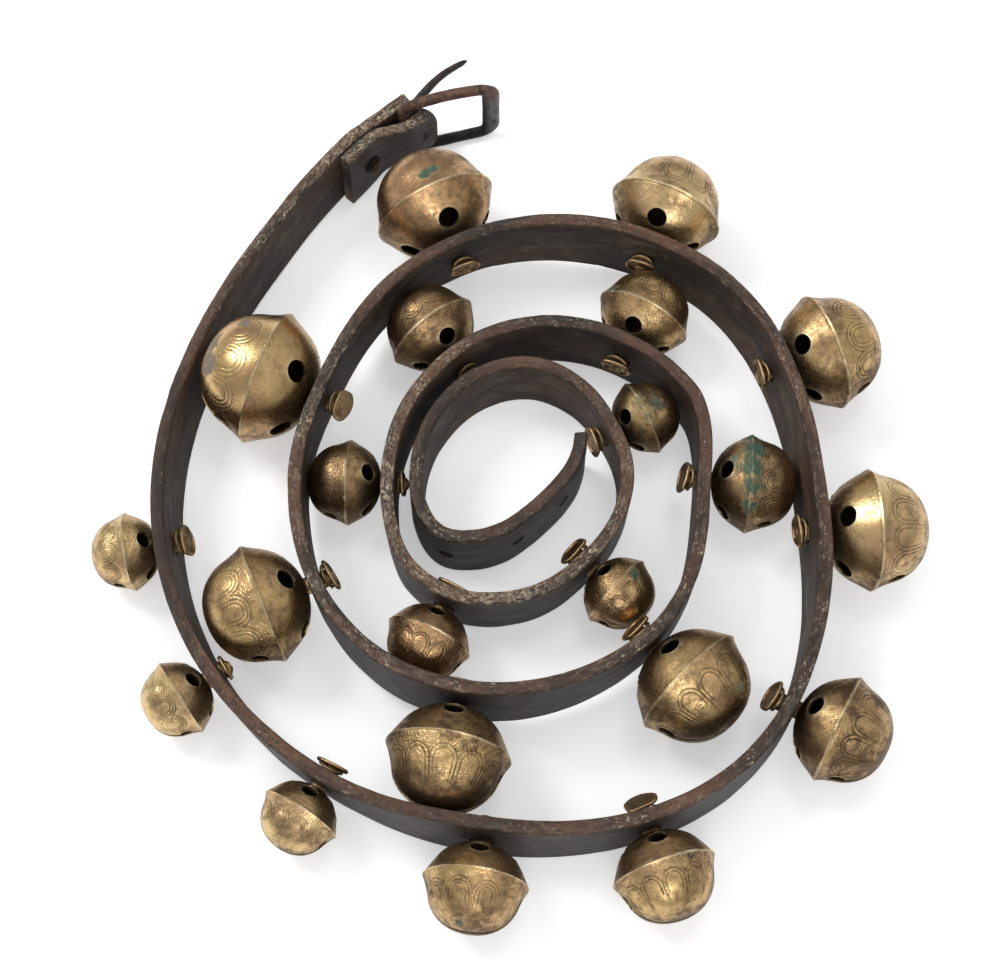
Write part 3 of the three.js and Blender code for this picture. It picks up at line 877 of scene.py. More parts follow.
BELL_PLACES = (
    BellPlace(1244, 30, -3, 6, 0),
    BellPlace(1221, 30, -2, 6, 0),
    BellPlace(1198, 30, 1, 4, 0),
    BellPlace(1174, 38, 6, -4, 0),
    BellPlace(1151.5, 38, 3, -1, 0),
    BellPlace(1125, 41, 3, 0, 0),
    BellPlace(1097, 46, -3, 6, 0),
    BellPlace(1062, 46, 0, 6, 0),
    BellPlace(1022.5, 46, 3, 1, 0),
    BellPlace(976, 50, 5, -4, 27),
    BellPlace(915, 53, 3, -2, 1.7),
    BellPlace(863, 46, -2, 3, 3.8),
    BellPlace(821, 46, 5, -3, 1.3),
    BellPlace(777, 46, 2, 3, 12.5),
    BellPlace(729, 38, 1, 0, 2),
    BellPlace(676, 38, 5, 0, 4.8),
    BellPlace(602, 38, 3, 0, 1.3),
    BellPlace(525, 33, -1, 1, 1.3),
    BellPlace(472, 33, 0, 3, 2),
    BellPlace(417.5, 30, -2, 4, 8),
    BellPlace(347, 30, 5, -2, 2.6),
)

INNER_TURNS = (
    (-6, 26.5), (20, 25.2), (42, 25), (62, 26.6), (80, 30.5), (95, 36), (110, 41.5), (126, 45.6),
    (145, 42.4), (166, 36.6), (190, 32.4), (217, 30.2), (250, 31), (285, 33.8), (315, 35.4), (347, 38.6),
    (373, 44.6), (398, 49.6), (420, 54), (444, 61), (468, 64.6), (488, 62), (506, 54.5), (525, 47.8),
    (548, 43.2), (578, 41), (602, 42.6), (627, 46.8), (651, 53), (677, 61.4), (698, 69.4),
)
OPEN_TURNS = ((738, 29.5), (922, 32.5), (1300, 53.5), (1318, 60.5))


@dataclass
class Spot:
    """A place on the strap: middle, way along, way outwards and way up, with the length run so far."""

    middle: Array
    along: Array
    out: Array
    up: Array
    run: float


@dataclass
class Winding:
    """The strap's route: wound from the tail outwards, folded round the buckle's bar and laid back inside."""

    strap_width: float = 31.75
    strap_thick: float = 5.0
    bell_standoff: float = 0.9
    shank_depth: float = 0.75
    nose_depth: float = 0.95
    last_turn: float = 1335.0
    flat_tail_turn: float = 200.0
    rod: float = 4.6
    bar_play: float = 0.6
    frame_play: float = 0.6
    chape_width: float = 24.0
    chape_straight: float = 12.0
    fold_spare: float = 7.0
    chape_taper: float = 34.0
    tab_length: float = 42.0
    tab_gap: float = 0.7
    rivet_setback: float = 29.0
    rivet_head: float = 9.0
    turn_step: float = 0.25
    slope_step: float = 0.5
    offset: Array = field(default_factory=lambda: np.zeros(3))

    def __post_init__(self) -> None:
        """Work out the stations, the levels and the run along the winding."""
        self.station_turns = [at for at, _ in INNER_TURNS]
        self.station_radii = [radius for _, radius in INNER_TURNS]
        over_bells = [(bell.at + FULL_TURN, self.bell_pitch(bell)) for bell in BELL_PLACES if bell.room > 0]
        for at, pitch in sorted([*over_bells, *OPEN_TURNS]):
            radius = self.radius_at(at - FULL_TURN) + pitch
            self.station_turns.append(at)
            self.station_radii.append(radius)
        self.levels = self._make_levels()
        count = round((self.last_turn - INNER_TURNS[0][0]) / self.turn_step)
        self.turns = [INNER_TURNS[0][0] + k * self.turn_step for k in range(count + 1)]
        plan = np.array([self.plan_at(turn) for turn in self.turns])
        steps = np.linalg.norm(np.diff(plan, axis=0), axis=1)
        self.runs = np.concatenate([[0.0], np.cumsum(steps)])
        self.length = float(self.runs[-1])
        self.fold_radius = self.rod / 2 + self.bar_play + self.strap_thick / 2

    def bell_reach(self, ridge: float) -> float:
        """Return how far a bell's centre stands out from the strap's middle."""
        return self.strap_thick / 2 + self.bell_standoff + ridge / 2 * self.shank_depth

    def bell_pitch(self, bell: BellPlace) -> float:
        """Return the distance from a bell's turn to the turn over its nose."""
        nose = self.bell_reach(bell.ridge) + bell.ridge / 2 * self.nose_depth
        return nose + self.strap_thick / 2 + bell.room

    def radius_at(self, turn: float) -> float:
        """Return the winding's radius, on a smooth curve through the stations.

        Args:
            turn: Winding in degrees.

        Returns:
            The radius.
        """
        turns = self.station_turns
        radii = self.station_radii
        last = len(turns) - 1
        k = min(max(bisect.bisect_left(turns, turn) - 1, 0), last - 1)

        def slope(i: int) -> float:
            """Return the change of radius to the degree at a station."""
            low = max(i - 1, 0)
            high = min(i + 1, last)
            return (radii[high] - radii[low]) / (turns[high] - turns[low])

        span = turns[k + 1] - turns[k]
        share = (turn - turns[k]) / span
        rise = radii[k + 1] - radii[k]
        bend_from = slope(k) * span - rise
        bend_to = rise - slope(k + 1) * span
        return radii[k] + share * rise + share * (1 - share) * (bend_from * (1 - share) + bend_to * share)

    def plan_at(self, turn: float) -> Pair:
        """Return x and y of the strap's middle at a winding angle."""
        radius = self.radius_at(turn)
        return radius * math.cos(math.radians(-turn)), radius * math.sin(math.radians(-turn))

    def _make_levels(self) -> list[tuple[float, float, float]]:
        """Work out how high the strap lies.

        Returns:
            Winding, height of the strap's middle and lean at every bell and at both ends.
        """
        levels = [
            (INNER_TURNS[0][0], self.strap_width / 2, 0.0),
            (self.flat_tail_turn, self.strap_width / 2, 0.0),
        ]
        for bell in reversed(BELL_PLACES):
            lean = math.radians(abs(bell.lean))
            tilt = math.radians(bell.tilt)
            standing = self.strap_width / 2 * math.cos(lean) + self.strap_thick / 2 * math.sin(lean)
            resting = bell.ridge / 2 * math.cos(tilt) - self.bell_reach(bell.ridge) * math.sin(tilt)
            levels.append((bell.at, max(standing, resting), bell.lean))
        frame_half = self.chape_width / 2 + self.frame_play + self.rod
        levels.append((self.last_turn, max(frame_half, self.strap_width / 2), 0.0))
        return levels

    def level_at(self, turn: float) -> Pair:
        """Return the strap's height and lean at a winding angle.

        Args:
            turn: Winding in degrees.

        Returns:
            The height of the strap's middle, and the lean in degrees.
        """
        k = 0
        while k < len(self.levels) - 2 and self.levels[k + 1][0] < turn:
            k += 1
        low = self.levels[k]
        high = self.levels[k + 1]
        share = smooth(turn, low[0], high[0])
        return low[1] + share * (high[1] - low[1]), low[2] + share * (high[2] - low[2])

    def spot_at(self, turn: float, leaning: bool = True) -> Spot:
        """Return the strap's place at a winding angle.

        Args:
            turn: Winding in degrees.
            leaning: Whether the up and out ways follow the strap's lean.

        Returns:
            The place, in the part's frame.
        """
        x, y = self.plan_at(turn)
        ahead = np.array(self.plan_at(turn + self.slope_step))
        behind = np.array(self.plan_at(turn - self.slope_step))
        way = ahead - behind
        way /= np.linalg.norm(way)
        height, lean = self.level_at(turn)
        tip = math.radians(lean) if leaning else 0.0
        level = np.array([-way[1], way[0], 0.0])
        return Spot(
            np.array([x, y, height]) + self.offset,
            np.array([way[0], way[1], 0.0]),
            level * math.cos(tip) - UPRIGHT * math.sin(tip),
            UPRIGHT * math.cos(tip) + level * math.sin(tip),
            float(np.interp(turn, self.turns, self.runs)),
        )

    def back_from_fold(self, distance: float) -> Spot:
        """Return the strap's place at a distance back from the fold."""
        turn = float(np.interp(self.length - distance, self.runs, self.turns))
        return self.spot_at(turn, leaning=False)

    def fold_middle(self) -> Array:
        """Return the point that the fold bends about."""
        finish = self.spot_at(self.last_turn, leaning=False)
        return finish.middle - finish.out * self.fold_radius

    def bar_middle(self) -> Array:
        """Return the middle of the buckle's bar, which lies a little inside the fold."""
        finish = self.spot_at(self.last_turn, leaning=False)
        return self.fold_middle() - finish.along * self.fold_spare

    def spots(self, step: float) -> list[Spot]:
        """Return places along the whole strap.

        Args:
            step: Distance between places in millimetres.

        Returns:
            Places from the tail, round the fold, to the tab's end.
        """
        count = round(self.length / step)
        found = []
        for run in np.linspace(0, self.length, count + 1):
            found.append(self.spot_at(float(np.interp(run, self.runs, self.turns))))
        finish = self.spot_at(self.last_turn, leaning=False)
        bend = self.fold_middle()
        fold_length = math.pi * self.fold_radius
        fold_steps = round(fold_length / step)
        for k in range(1, fold_steps + 1):
            angle = math.pi * k / fold_steps
            out = finish.out * math.cos(angle) + finish.along * math.sin(angle)
            along = finish.along * math.cos(angle) - finish.out * math.sin(angle)
            run = self.length + self.fold_radius * angle
            found.append(Spot(bend + out * self.fold_radius, along, out, UPRIGHT, run))
        tab_steps = round(self.tab_length / step)
        for k in range(1, tab_steps + 1):
            distance = self.tab_length * k / tab_steps
            back = self.back_from_fold(distance)
            closing = smooth(distance, self.fold_spare, self.rivet_setback - self.rivet_head / 2)
            apart = 2 * self.fold_radius + closing * (self.strap_thick + self.tab_gap - 2 * self.fold_radius)
            run = self.length + fold_length + distance
            found.append(Spot(back.middle - back.out * apart, -back.along, -back.out, UPRIGHT, run))
        return found

    def width_at(self, run: float) -> float:
        """Return the strap's width, narrowed towards the buckle.

        Args:
            run: Length from the tail in millimetres.

        Returns:
            The width.
        """
        half_fold = math.pi * self.fold_radius / 2
        distance = max(0.0, abs(run - self.length - half_fold) - half_fold)
        narrow = 1 - smooth(distance, self.chape_straight, self.chape_taper)
        return self.strap_width - narrow * (self.strap_width - self.chape_width)


# Leather strap


@dataclass
class LeatherStrap:
    """The strap with worn edges, shank slits, tail holes and the torn fold at the buckle."""

    winding: Winding
    step: float = 1.4
    corner: float = 1.2
    corner_steps: int = 4
    face_steps: int = 12
    edge_steps: int = 4
    edge_wander: float = 0.35
    edge_rough: float = 0.3
    face_wander: float = 0.22
    slit_width: float = 8.4
    slit_height: float = 4.0
    tail_hole: float = 5.5
    tail_turns: tuple[float, ...] = (44, 88, 122)
    rivet_hole: float = 4.0
    tongue_slot: float = 5.6
    tongue_slot_spare: float = 4.0
    inner_slot: float = 5.5
    slot_inner_start: float = 2.0
    slot_face_start: float = 3.8
    slot_face: float = 8.0
    slot_back: float = 1.0
    # Torn upper part of the fold
    tear_reach: float = 9.0
    tear_core: float = 1.5
    tear_edge: float = 0.85
    tear_steps: tuple[float, ...] = (0.4, -0.7, 0.9, -0.3, 1.2, -0.8, 0.5, -0.2, 0.8)
    tear_outer: float = -1.5
    tear_inner: float = 3.5
    tear_beside: float = 3.0
    tear_ahead: float = 6.0
    # Sizes of the wear in millimetres
    edge_band: Pair = (-1.6, -0.5)
    upper_wave: float = 21.0
    lower_wave: float = 24.0
    chip_size: float = 3.4
    chip_stretch: float = 0.35
    chip_depth: float = 1.3
    arris_band: Pair = (1.0, 2.2)
    flesh_band: float = 0.5
    # How far the edges are rubbed, by the run from the tail in millimetres
    wear_wander: float = 0.22
    wear_marks: tuple[Pair, ...] = (
        (0, 0.3), (60, 0.35), (85, 0.75), (120, 0.3), (205, 0.35), (250, 0.75), (320, 0.95),
        (400, 0.85), (445, 0.5), (520, 0.3), (620, 0.55), (740, 0.5), (850, 0.7), (920, 0.3),
        (1120, 0.45), (1240, 0.5), (1400, 0.35), (1600, 0.25), (1660, 0.4), (1740, 1.0),
    )

    def outline(self) -> list[tuple[float, float, float]]:
        """Return the section's corners.

        Returns:
            For each corner: thickness place, share of the width's straight half, and extra width place.
        """
        half = self.winding.strap_thick / 2
        inset = half - self.corner
        corners = []
        quarters = ((1, 1), (-1, 1), (-1, -1), (1, -1))
        for quarter, (thick_sign, width_sign) in enumerate(quarters):
            for k in range(self.corner_steps + 1):
                angle = math.radians(90.0 * quarter + 90.0 * k / self.corner_steps)
                a = thick_sign * inset + self.corner * math.cos(angle)
                e = self.corner * math.sin(angle)
                corners.append((a, float(width_sign), e))
            following = quarters[(quarter + 1) % len(quarters)]
            on_edge = following[1] == width_sign
            steps = self.edge_steps if on_edge else self.face_steps
            for k in range(1, steps):
                share = k / steps
                if on_edge:
                    a = inset * (thick_sign + (following[0] - thick_sign) * share)
                    corners.append((a, float(width_sign), width_sign * self.corner))
                else:
                    f = width_sign + (following[1] - width_sign) * share
                    corners.append((thick_sign * half, f, 0.0))
        return corners

    def build(self) -> Piece:
        """Sweep the leather, cut it and keep its lay for the finish.

        Returns:
            The strap.
        """
        spots = self.winding.spots(self.step)
        corners = np.array(self.outline())
        size = len(corners)
        middles = np.array([spot.middle for spot in spots])
        outs = np.array([spot.out for spot in spots])
        ups = np.array([spot.up for spot in spots])
        runs = np.array([spot.run for spot in spots])
        halves = np.array([self.winding.width_at(run) / 2 for run in runs])
        across = corners[None, :, 0] * np.ones((len(spots), 1))
        high = corners[None, :, 1] * (halves[:, None] - self.corner) + corners[None, :, 2]
        edge = smooth(np.abs(high) - halves[:, None], *self.edge_band)
        lay = np.stack([np.repeat(runs[:, None], size, 1), across, high], axis=2).reshape(-1, 3)

        upper = self._run_noise(runs, self.upper_wave, 3.1)
        lower = self._run_noise(runs, self.lower_wave, 9.7)
        wander = np.where(high > 0, upper[:, None], lower[:, None]) * self.edge_wander * edge
        fine = grain_of(lay, 1.9, 5.3).reshape(across.shape)
        chipped = grain_of(lay * np.array([self.chip_stretch, 1, 1]), self.chip_size, 7.7)
        chips = np.clip(chipped.reshape(across.shape) - 0.18, 0, 1)
        sink = np.sign(high) * (wander + fine * self.edge_rough * edge - chips * self.chip_depth * edge)
        bumps = grain_of(lay, 9.0, 1.7).reshape(across.shape) * self.face_wander * (1 - edge)
        swell = np.sign(across) * bumps
        floor_guard = np.where(high < 0, np.maximum(sink, 0.0), sink)

        points = (
            middles[:, None, :]
            + outs[:, None, :] * (across + swell)[:, :, None]
            + ups[:, None, :] * (high + floor_guard)[:, :, None]
        ).reshape(-1, 3)
        piece = new_piece("strap_leather", points, ring_faces(len(spots), size))
        self._cut(piece)
        self._keep_lay(piece, points, lay, edge.ravel())
        return piece

    @staticmethod
    def _run_noise(runs: Array, size: float, seed: float) -> Array:
        """Return noise that changes along the strap only."""
        nothing = np.zeros_like(runs)
        return grain_of(np.column_stack([runs, nothing, nothing]), size, seed)

    def _wear_at(self, runs: Array) -> Array:
        """Return how far the edges are rubbed along the strap, from the marks and an uneven change.

        Args:
            runs: Lengths from the tail in millimetres.

        Returns:
            Shares from 0 to 1.
        """
        marked_runs, marked_shares = zip(*self.wear_marks)
        marks = np.interp(runs, marked_runs, marked_shares)
        uneven = self._run_noise(runs, 45.0, 12.3)
        return np.clip(marks + self.wear_wander * uneven, 0.05, 1)

    def _keep_lay(self, piece: Piece, points: Array, lay: Array, edge: Array) -> None:
        """Store the lay and the masks of edge, arris, wear and flesh side at every point of the cut strap.

        Args:
            piece: The cut strap.
            points: Points of the strap before it was cut.
            lay: Run, thickness place and width place of those points.
            edge: How far each of them belongs to an edge.
        """
        tree = kdtree.KDTree(len(points))
        for k, point in enumerate(points):
            tree.insert(point * MM, k)
        tree.balance()
        nearest = [tree.find(corner.co)[1] for corner in piece.data.vertices]
        by_tear = 1 - smooth(np.abs(lay[:, 0] - self.winding.length), self.tear_core, self.tear_reach)
        edge = np.maximum(edge, self.tear_edge * by_tear * (lay[:, 2] > self.tongue_slot / 2))
        store_places(piece, "lay", lay[nearest] * MM)
        store(piece, "edge", edge[nearest])
        store(piece, "arris", edge[nearest] * smooth(np.abs(lay[nearest, 1]), *self.arris_band))
        store(piece, "worn", self._wear_at(lay[nearest, 0]))
        flesh = smooth(-lay[nearest, 1], -self.flesh_band, self.flesh_band)
        folded = lay[nearest, 0] > self.winding.length + math.pi * self.winding.fold_radius / 2
        store(piece, "flesh", np.where(folded, 0.15, flesh))

    def _cut(self, piece: Piece) -> None:
        """Cut the shank slits, the tail holes, the rivet hole and the torn slot at the fold.

        Args:
            piece: The strap.
        """
        winding = self.winding
        through = 4 * winding.strap_thick
        cutters = []
        wide = self.slit_width / 2
        deep = through / 2
        slit = ((-wide, -deep), (wide, -deep), (wide, deep), (-wide, deep))
        for bell in BELL_PLACES:
            spot = winding.spot_at(bell.at, leaning=False)
            cutters.append(self._prism(spot, slit, self.slit_height / 2))
        for turn in self.tail_turns:
            cutters.append(self._drill(winding.spot_at(turn, leaning=False), self.tail_hole, through))
        rivet_spot = winding.back_from_fold(winding.rivet_setback)
        cutters.append(self._drill(rivet_spot, self.rivet_hole, 2 * through))
        finish = winding.spot_at(winding.last_turn, leaning=False)
        reach = winding.fold_radius + winding.strap_thick
        finish.middle = winding.bar_middle()
        slot = self._slot_plan(reach + self.tongue_slot_spare)
        cutters.append(self._prism(finish, slot, self.tongue_slot / 2))
        finish.middle = winding.fold_middle()
        tools = [
            new_piece("strap_openings", *joined(cutters)),
            new_piece("strap_tear", *self._torn_block(finish, reach)),
        ]
        for tool in tools:
            cut = piece.modifiers.new(tool.name, "BOOLEAN")
            cut.object = tool
            cut.operation = "DIFFERENCE"
            cut.solver = "EXACT"
        graph = bpy.context.evaluated_depsgraph_get()
        finished = bpy.data.meshes.new_from_object(piece.evaluated_get(graph))
        piece.modifiers.clear()
        piece.data = finished
        for tool in tools:
            bpy.data.objects.remove(tool)
        finish_shading(finished, SHARP_DEG)

    @staticmethod
    def _prism(spot: Spot, plan: Sequence[Pair], half: float) -> Shape:
        """Return an upright block whose plan is given along and across the strap."""
        levels = (spot.middle - UPRIGHT * half, spot.middle + UPRIGHT * half)
        points = [level + spot.along * x + spot.out * y for level in levels for x, y in plan]
        return np.array(points), ring_faces(2, len(plan))

    def _slot_plan(self, reach: float) -> tuple[Pair, ...]:
        """Return the tongue slot's plan, long in the outer layer and slanting in the layer laid back."""
        ahead = reach + self.winding.fold_spare
        return (
            (-reach, -self.slot_back), (-self.inner_slot, -self.slot_back),
            (-self.inner_slot, -self.inner_slot), (self.slot_inner_start, -self.inner_slot),
            (self.slot_face_start, -self.slot_face), (self.slot_face_start, -2 * reach),
            (ahead, -2 * reach), (ahead, 2 * reach), (-reach, 2 * reach),
        )

    def _torn_block(self, spot: Spot, reach: float) -> Shape:
        """Return a ragged block that takes away the worn-through upper part of the fold.

        Args:
            spot: The fold's middle, with the ways of the fold.
            reach: How far the fold's outside is from its middle.

        Returns:
            Points and faces.
        """
        start = self.tongue_slot / 2 - 0.1
        levels = np.linspace(start, self.winding.strap_width, len(self.tear_steps))
        beside = reach + self.tear_beside
        ahead = reach + self.tear_ahead
        points = []
        for level, shift in zip(levels, self.tear_steps):
            near = self.tear_outer + shift
            bend = (near - 1.0 + shift, -self.slot_back)
            inner = (self.tear_inner + shift, -beside)
            plan = ((near, beside), bend, inner, (ahead, -beside), (ahead, beside))
            for x, y in plan:
                points.append(spot.middle + spot.along * x + spot.out * y + UPRIGHT * level)
        return np.array(points), ring_faces(len(self.tear_steps), len(plan))

    @staticmethod
    def _drill(spot: Spot, diameter: float, depth: float) -> Shape:
        """Return a round bar across the strap at a spot."""
        path = np.array([spot.middle - spot.out * depth / 2, spot.middle + spot.out * depth / 2])
        return sweep(path, spot.along, diameter / 2, diameter / 2, ROUND_FACETS, closed=False)

    def dress(self, piece: Piece, effects: SharedEffects) -> None:
        """Give the strap its leather and let it stand for its solid.

        Args:
            piece: The strap.
            effects: The shared node groups.
        """
        piece.data.materials.clear()
        piece.data.materials.append(HarnessLeather().make(effects))
        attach(piece, Body.STRAP.value)
        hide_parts("strap")


# Bells


@dataclass(frozen=True)
class Patch:
    """A patch on a bell: the way to it from the centre in the bell's own axes, its reach and its strength."""

    way: Point
    reach: float
    strength: float


@dataclass(frozen=True)
class BellLook:
    """How one bell has aged, how its keeper plate leans and twists, and how its wire loop lies."""

    age: float = 0.5
    lean: float = 8.0
    twist: float = 0.0
    loop: float = 45.0
    bright: Colour = (0.75, 0.515, 0.235)
    grit: float = 0.25
    skin: float = 0.9
    engraved: float = 1.0
    petals: int = 12
    keeper_clear: float = 2.8
    keeper_length: float = 12.6
    green: tuple[Patch, ...] = ()
    stain: tuple[Patch, ...] = ()
    stain_colour: Colour = (0.2, 0.16, 0.112)


RED_BRASS = (0.68, 0.42, 0.2)
PALE_BRASS = (0.81, 0.585, 0.285)

BELL_LOOKS = (
    BellLook(0.16, 30, 4, bright=PALE_BRASS, petals=10),
    BellLook(0.16, 6, -3, bright=PALE_BRASS, petals=10, keeper_clear=1.3, keeper_length=10.0),
    BellLook(0.3, 6, 5, bright=PALE_BRASS, grit=0.4, petals=10),
    BellLook(0.5, 4, 0, engraved=0.8, petals=10, keeper_clear=1.3, keeper_length=10.0, green=(
        Patch((0.15, 0.9, 0.42), 0.2, 0.66),)),
    BellLook(0.36, 52, 6, 70, stain=(
        Patch((-0.25, 0.0, 0.97), 0.22, 0.56), Patch((-0.5, 0.0, 0.85), 0.26, 0.66),
        Patch((-0.78, 0.02, 0.6), 0.22, 0.56)), stain_colour=(0.035, 0.03, 0.024)),
    BellLook(0.84, 36, -4, grit=0.4),
    BellLook(0.24, 12, 3, 20, PALE_BRASS, 0.4),
    BellLook(0.46, 10, -8, 35, petals=10),
    BellLook(0.36, 6, 6, 50, PALE_BRASS, 0.35),
    BellLook(0.48, 6, -5, 50, RED_BRASS, 0.0, 0.6, 0.15, green=(
        Patch((-0.08, 0.26, 0.96), 0.17, 1.25), Patch((0.09, 0.29, 0.95), 0.15, 1.2),
        Patch((0.0, -0.24, 0.96), 0.14, 0.9))),
    BellLook(0.0, 58, 3, 60, grit=0.08, skin=0.4, petals=10, stain=(
        Patch((-0.3, 0.76, 0.52), 0.36, 0.7), Patch((0.02, 0.8, 0.55), 0.28, 0.66),
        Patch((0.42, 0.5, 0.75), 0.24, 0.62))),
    BellLook(0.26, 16, 7, grit=0.5, petals=10, green=(Patch((0.8, -0.12, 0.55), 0.35, 0.5),)),
    BellLook(0.66, 5, -3, grit=1.0),
    BellLook(0.48, 32, 5, green=(Patch((-0.35, 0.75, 0.55), 0.32, 0.58),)),
    BellLook(0.62, 26, -8, 70, petals=10, green=(
        Patch((0.0, -0.02, 1.0), 0.42, 0.94), Patch((0.42, 0.0, 0.9), 0.36, 0.92),
        Patch((-0.42, 0.0, 0.9), 0.4, 0.94), Patch((-0.78, 0.0, 0.62), 0.34, 0.88),
        Patch((0.78, 0.0, 0.62), 0.3, 0.82), Patch((-0.2, -0.35, 0.88), 0.4, 0.66))),
    BellLook(0.46, 6, 5, grit=0.5, green=(Patch((-0.75, 0.05, 0.62), 0.24, 0.76),)),
    BellLook(0.9, 8, -5, petals=10),
    BellLook(0.98, 8, 6, engraved=0.5, keeper_clear=1.3, keeper_length=10.0),
    BellLook(0.28, 5, -4, 45, RED_BRASS, 0.5, green=(Patch((0.62, 0.55, 0.4), 0.3, 0.6),)),
    BellLook(0.22, 36, 5, grit=0.4, green=(
        Patch((-0.42, 0.16, 0.88), 0.27, 1.0), Patch((-0.8, -0.3, 0.4), 0.3, 0.52))),
    BellLook(0.94, 22, -7, 60, engraved=0.5, green=(
        Patch((-0.05, 0.03, 1.0), 0.4, 0.66), Patch((0.25, 0.12, 0.95), 0.4, 0.7),
        Patch((0.15, 0.4, 0.88), 0.36, 0.62))),
)


@dataclass
class PetalBell:
    """One cast bell about its pivot on the strap: X along the strap, Y to the nose, Z up."""

    number: int
    place: BellPlace
    look: BellLook
    winding: Winding
    matrix: Matrix
    spacing: float = 0.5
    shank_spacing: float = 1.0
    body_share: float = 0.9
    flare_share: float = 0.36
    flare_power: float = 2.2
    nose_power: float = 2.3
    wall: float = 1.9
    rim_share: float = 0.5
    rim_wear_and_highlight: float = 0.9
    hole_least: float = 3.2
    hole_share: float = 0.21
    hole_place: Pair = (0.66, -0.5)
    slit_share: float = 0.115
    slit_end_share: float = 0.29
    slit_end_ahead: float = 0.36
    petal_start: float = 0.21
    petal_share: float = 0.9
    petal_insets: tuple[float, ...] = (0.0, 0.065, 0.13)
    arch_end: float = 1.0
    scroll_end: float = 0.85
    groove_width: float = 0.36
    groove_depth: float = 0.16
    far_from_line: float = 9.0
    ridge_shade: float = 1.0
    cast_wander: float = 0.16
    shank_width: float = 7.0
    shank_thick: float = 2.6
    keeper_height: float = 7.6
    keeper_thick: float = 1.3
    keeper_rim: float = 0.5
    loop_half: float = 4.2
    loop_rise: float = 4.6
    loop_clear: float = 0.5
    loop_room: float = 0.5
    wire: float = 1.5
    # Mesh of the casting
    round_step: int = 16
    thin_room: float = 1.5
    snap: float = 0.45
    hole_count: int = 4
    # Petals, in shares of the radius
    arched_petals: int = 12
    belt_across: float = 0.93
    across_arcs: tuple[float, ...] = (0.0, 0.4, 1.38)
    across_shares: tuple[float, ...] = (0.93, 0.86, 0.05)
    petal_fade: float = 0.4
    stipple_band: tuple[float, ...] = (0.03, 0.08, 0.2, 0.42)
    stipple_among: tuple[float, ...] = (0.08, 0.2, 0.6, 0.95)
    stipple_share: float = 0.45
    # Wear and dirt, and the painted shade of the lower sides
    ridge_width: float = 0.45
    under_band: Pair = (-0.7, 0.15)
    patch_core: float = 0.25
    patch_rim: float = 1.3
    # Shank
    shank_past: float = 4.6
    shank_round: float = 3.0
    # Keeper and wire
    keeper_squares: Pair = (0.7, 0.9)
    keeper_bevel: float = 0.3
    keeper_raise: float = 0.8
    rimless_lean: Pair = (40.0, 50.0)
    loop_past: float = 0.2
    loop_raise: float = 1.2
    wire_flat: Pair = (1.2, 0.85)
    green_reach: float = 3.5
    green_range: Pair = (0.12, 0.42)

    def __post_init__(self) -> None:
        """Work out the radius over the ridge and where the bell's centre is."""
        self.radius = self.place.ridge / 2
        self.reach = self.winding.bell_reach(self.place.ridge)
        self.hole = self.hole_least + self.hole_share * self.radius
        self.slit = self.slit_share * self.radius
        self.slit_end = self.slit_end_share * self.radius
        self.label = f"bell_{self.number:02d}"
        self.body = f"{self.label}_body"

    def _half_profile(self, depth: float, power: float, spacing: float) -> Array:
        """Return (radius, distance from the ridge) along one half, evenly spaced.

        Args:
            depth: Depth of the half at the pole.
            power: Roundness of the half.
            spacing: Distance between rows.

        Returns:
            Rows from the ridge to close by the pole, with the arc length as a third column.
        """
        angle = np.linspace(0, math.pi / 2, 500)
        y = depth * np.sin(angle) ** (2 / power)
        r = self.body_share * self.radius * np.cos(angle) ** (2 / power)
        flare = np.clip(1 - y / (self.flare_share * self.radius), 0, 1) ** self.flare_power
        r = r + (1 - self.body_share) * self.radius * flare
        arc = np.concatenate([[0.0], np.cumsum(np.hypot(np.diff(r), np.diff(y)))])
        count = max(8, round(arc[-1] / spacing))
        even = np.linspace(0, arc[-1], count + 1)[:-1]
        return np.column_stack([np.interp(even, arc, r), np.interp(even, arc, y), even])

    def _rows(self) -> tuple[Array, list[int]]:
        """Lay out the rows of the skin from the shank to the nose.

        Returns:
            Radius, distance from the ridge and arc of each row, and the number of points round each.
        """
        shank_depth = self.winding.shank_depth * self.radius
        shank = self._half_profile(shank_depth, 2.0, self.shank_spacing)
        nose = self._half_profile(self.winding.nose_depth * self.radius, self.nose_power, self.spacing)
        full = self.round_step * round(2 * math.pi * self.radius / self.spacing / self.round_step)
        rows = []
        for r, y, arc in shank[:0:-1]:
            rows.append((r, -y, -arc))
        for r, y, arc in nose:
            rows.append((r, y, arc))
        ridge_row = len(shank) - 1
        counts = [full] * len(rows)
        for k in range(ridge_row - 1, -1, -1):
            counts[k] = self._thinned(counts[k + 1], rows[k][0], self.shank_spacing)
        for k in range(ridge_row + 1, len(rows)):
            counts[k] = self._thinned(counts[k - 1], rows[k][0], self.spacing)
        return np.array(rows), counts

    def _thinned(self, count: int, radius: float, spacing: float) -> int:
        """Return half the count where the points round a row would lie closer than they need to."""
        roomy = 2 * math.pi * radius / (count / 2) <= self.thin_room * spacing
        return count // 2 if roomy and count % 2 == 0 and count > self.round_step else count

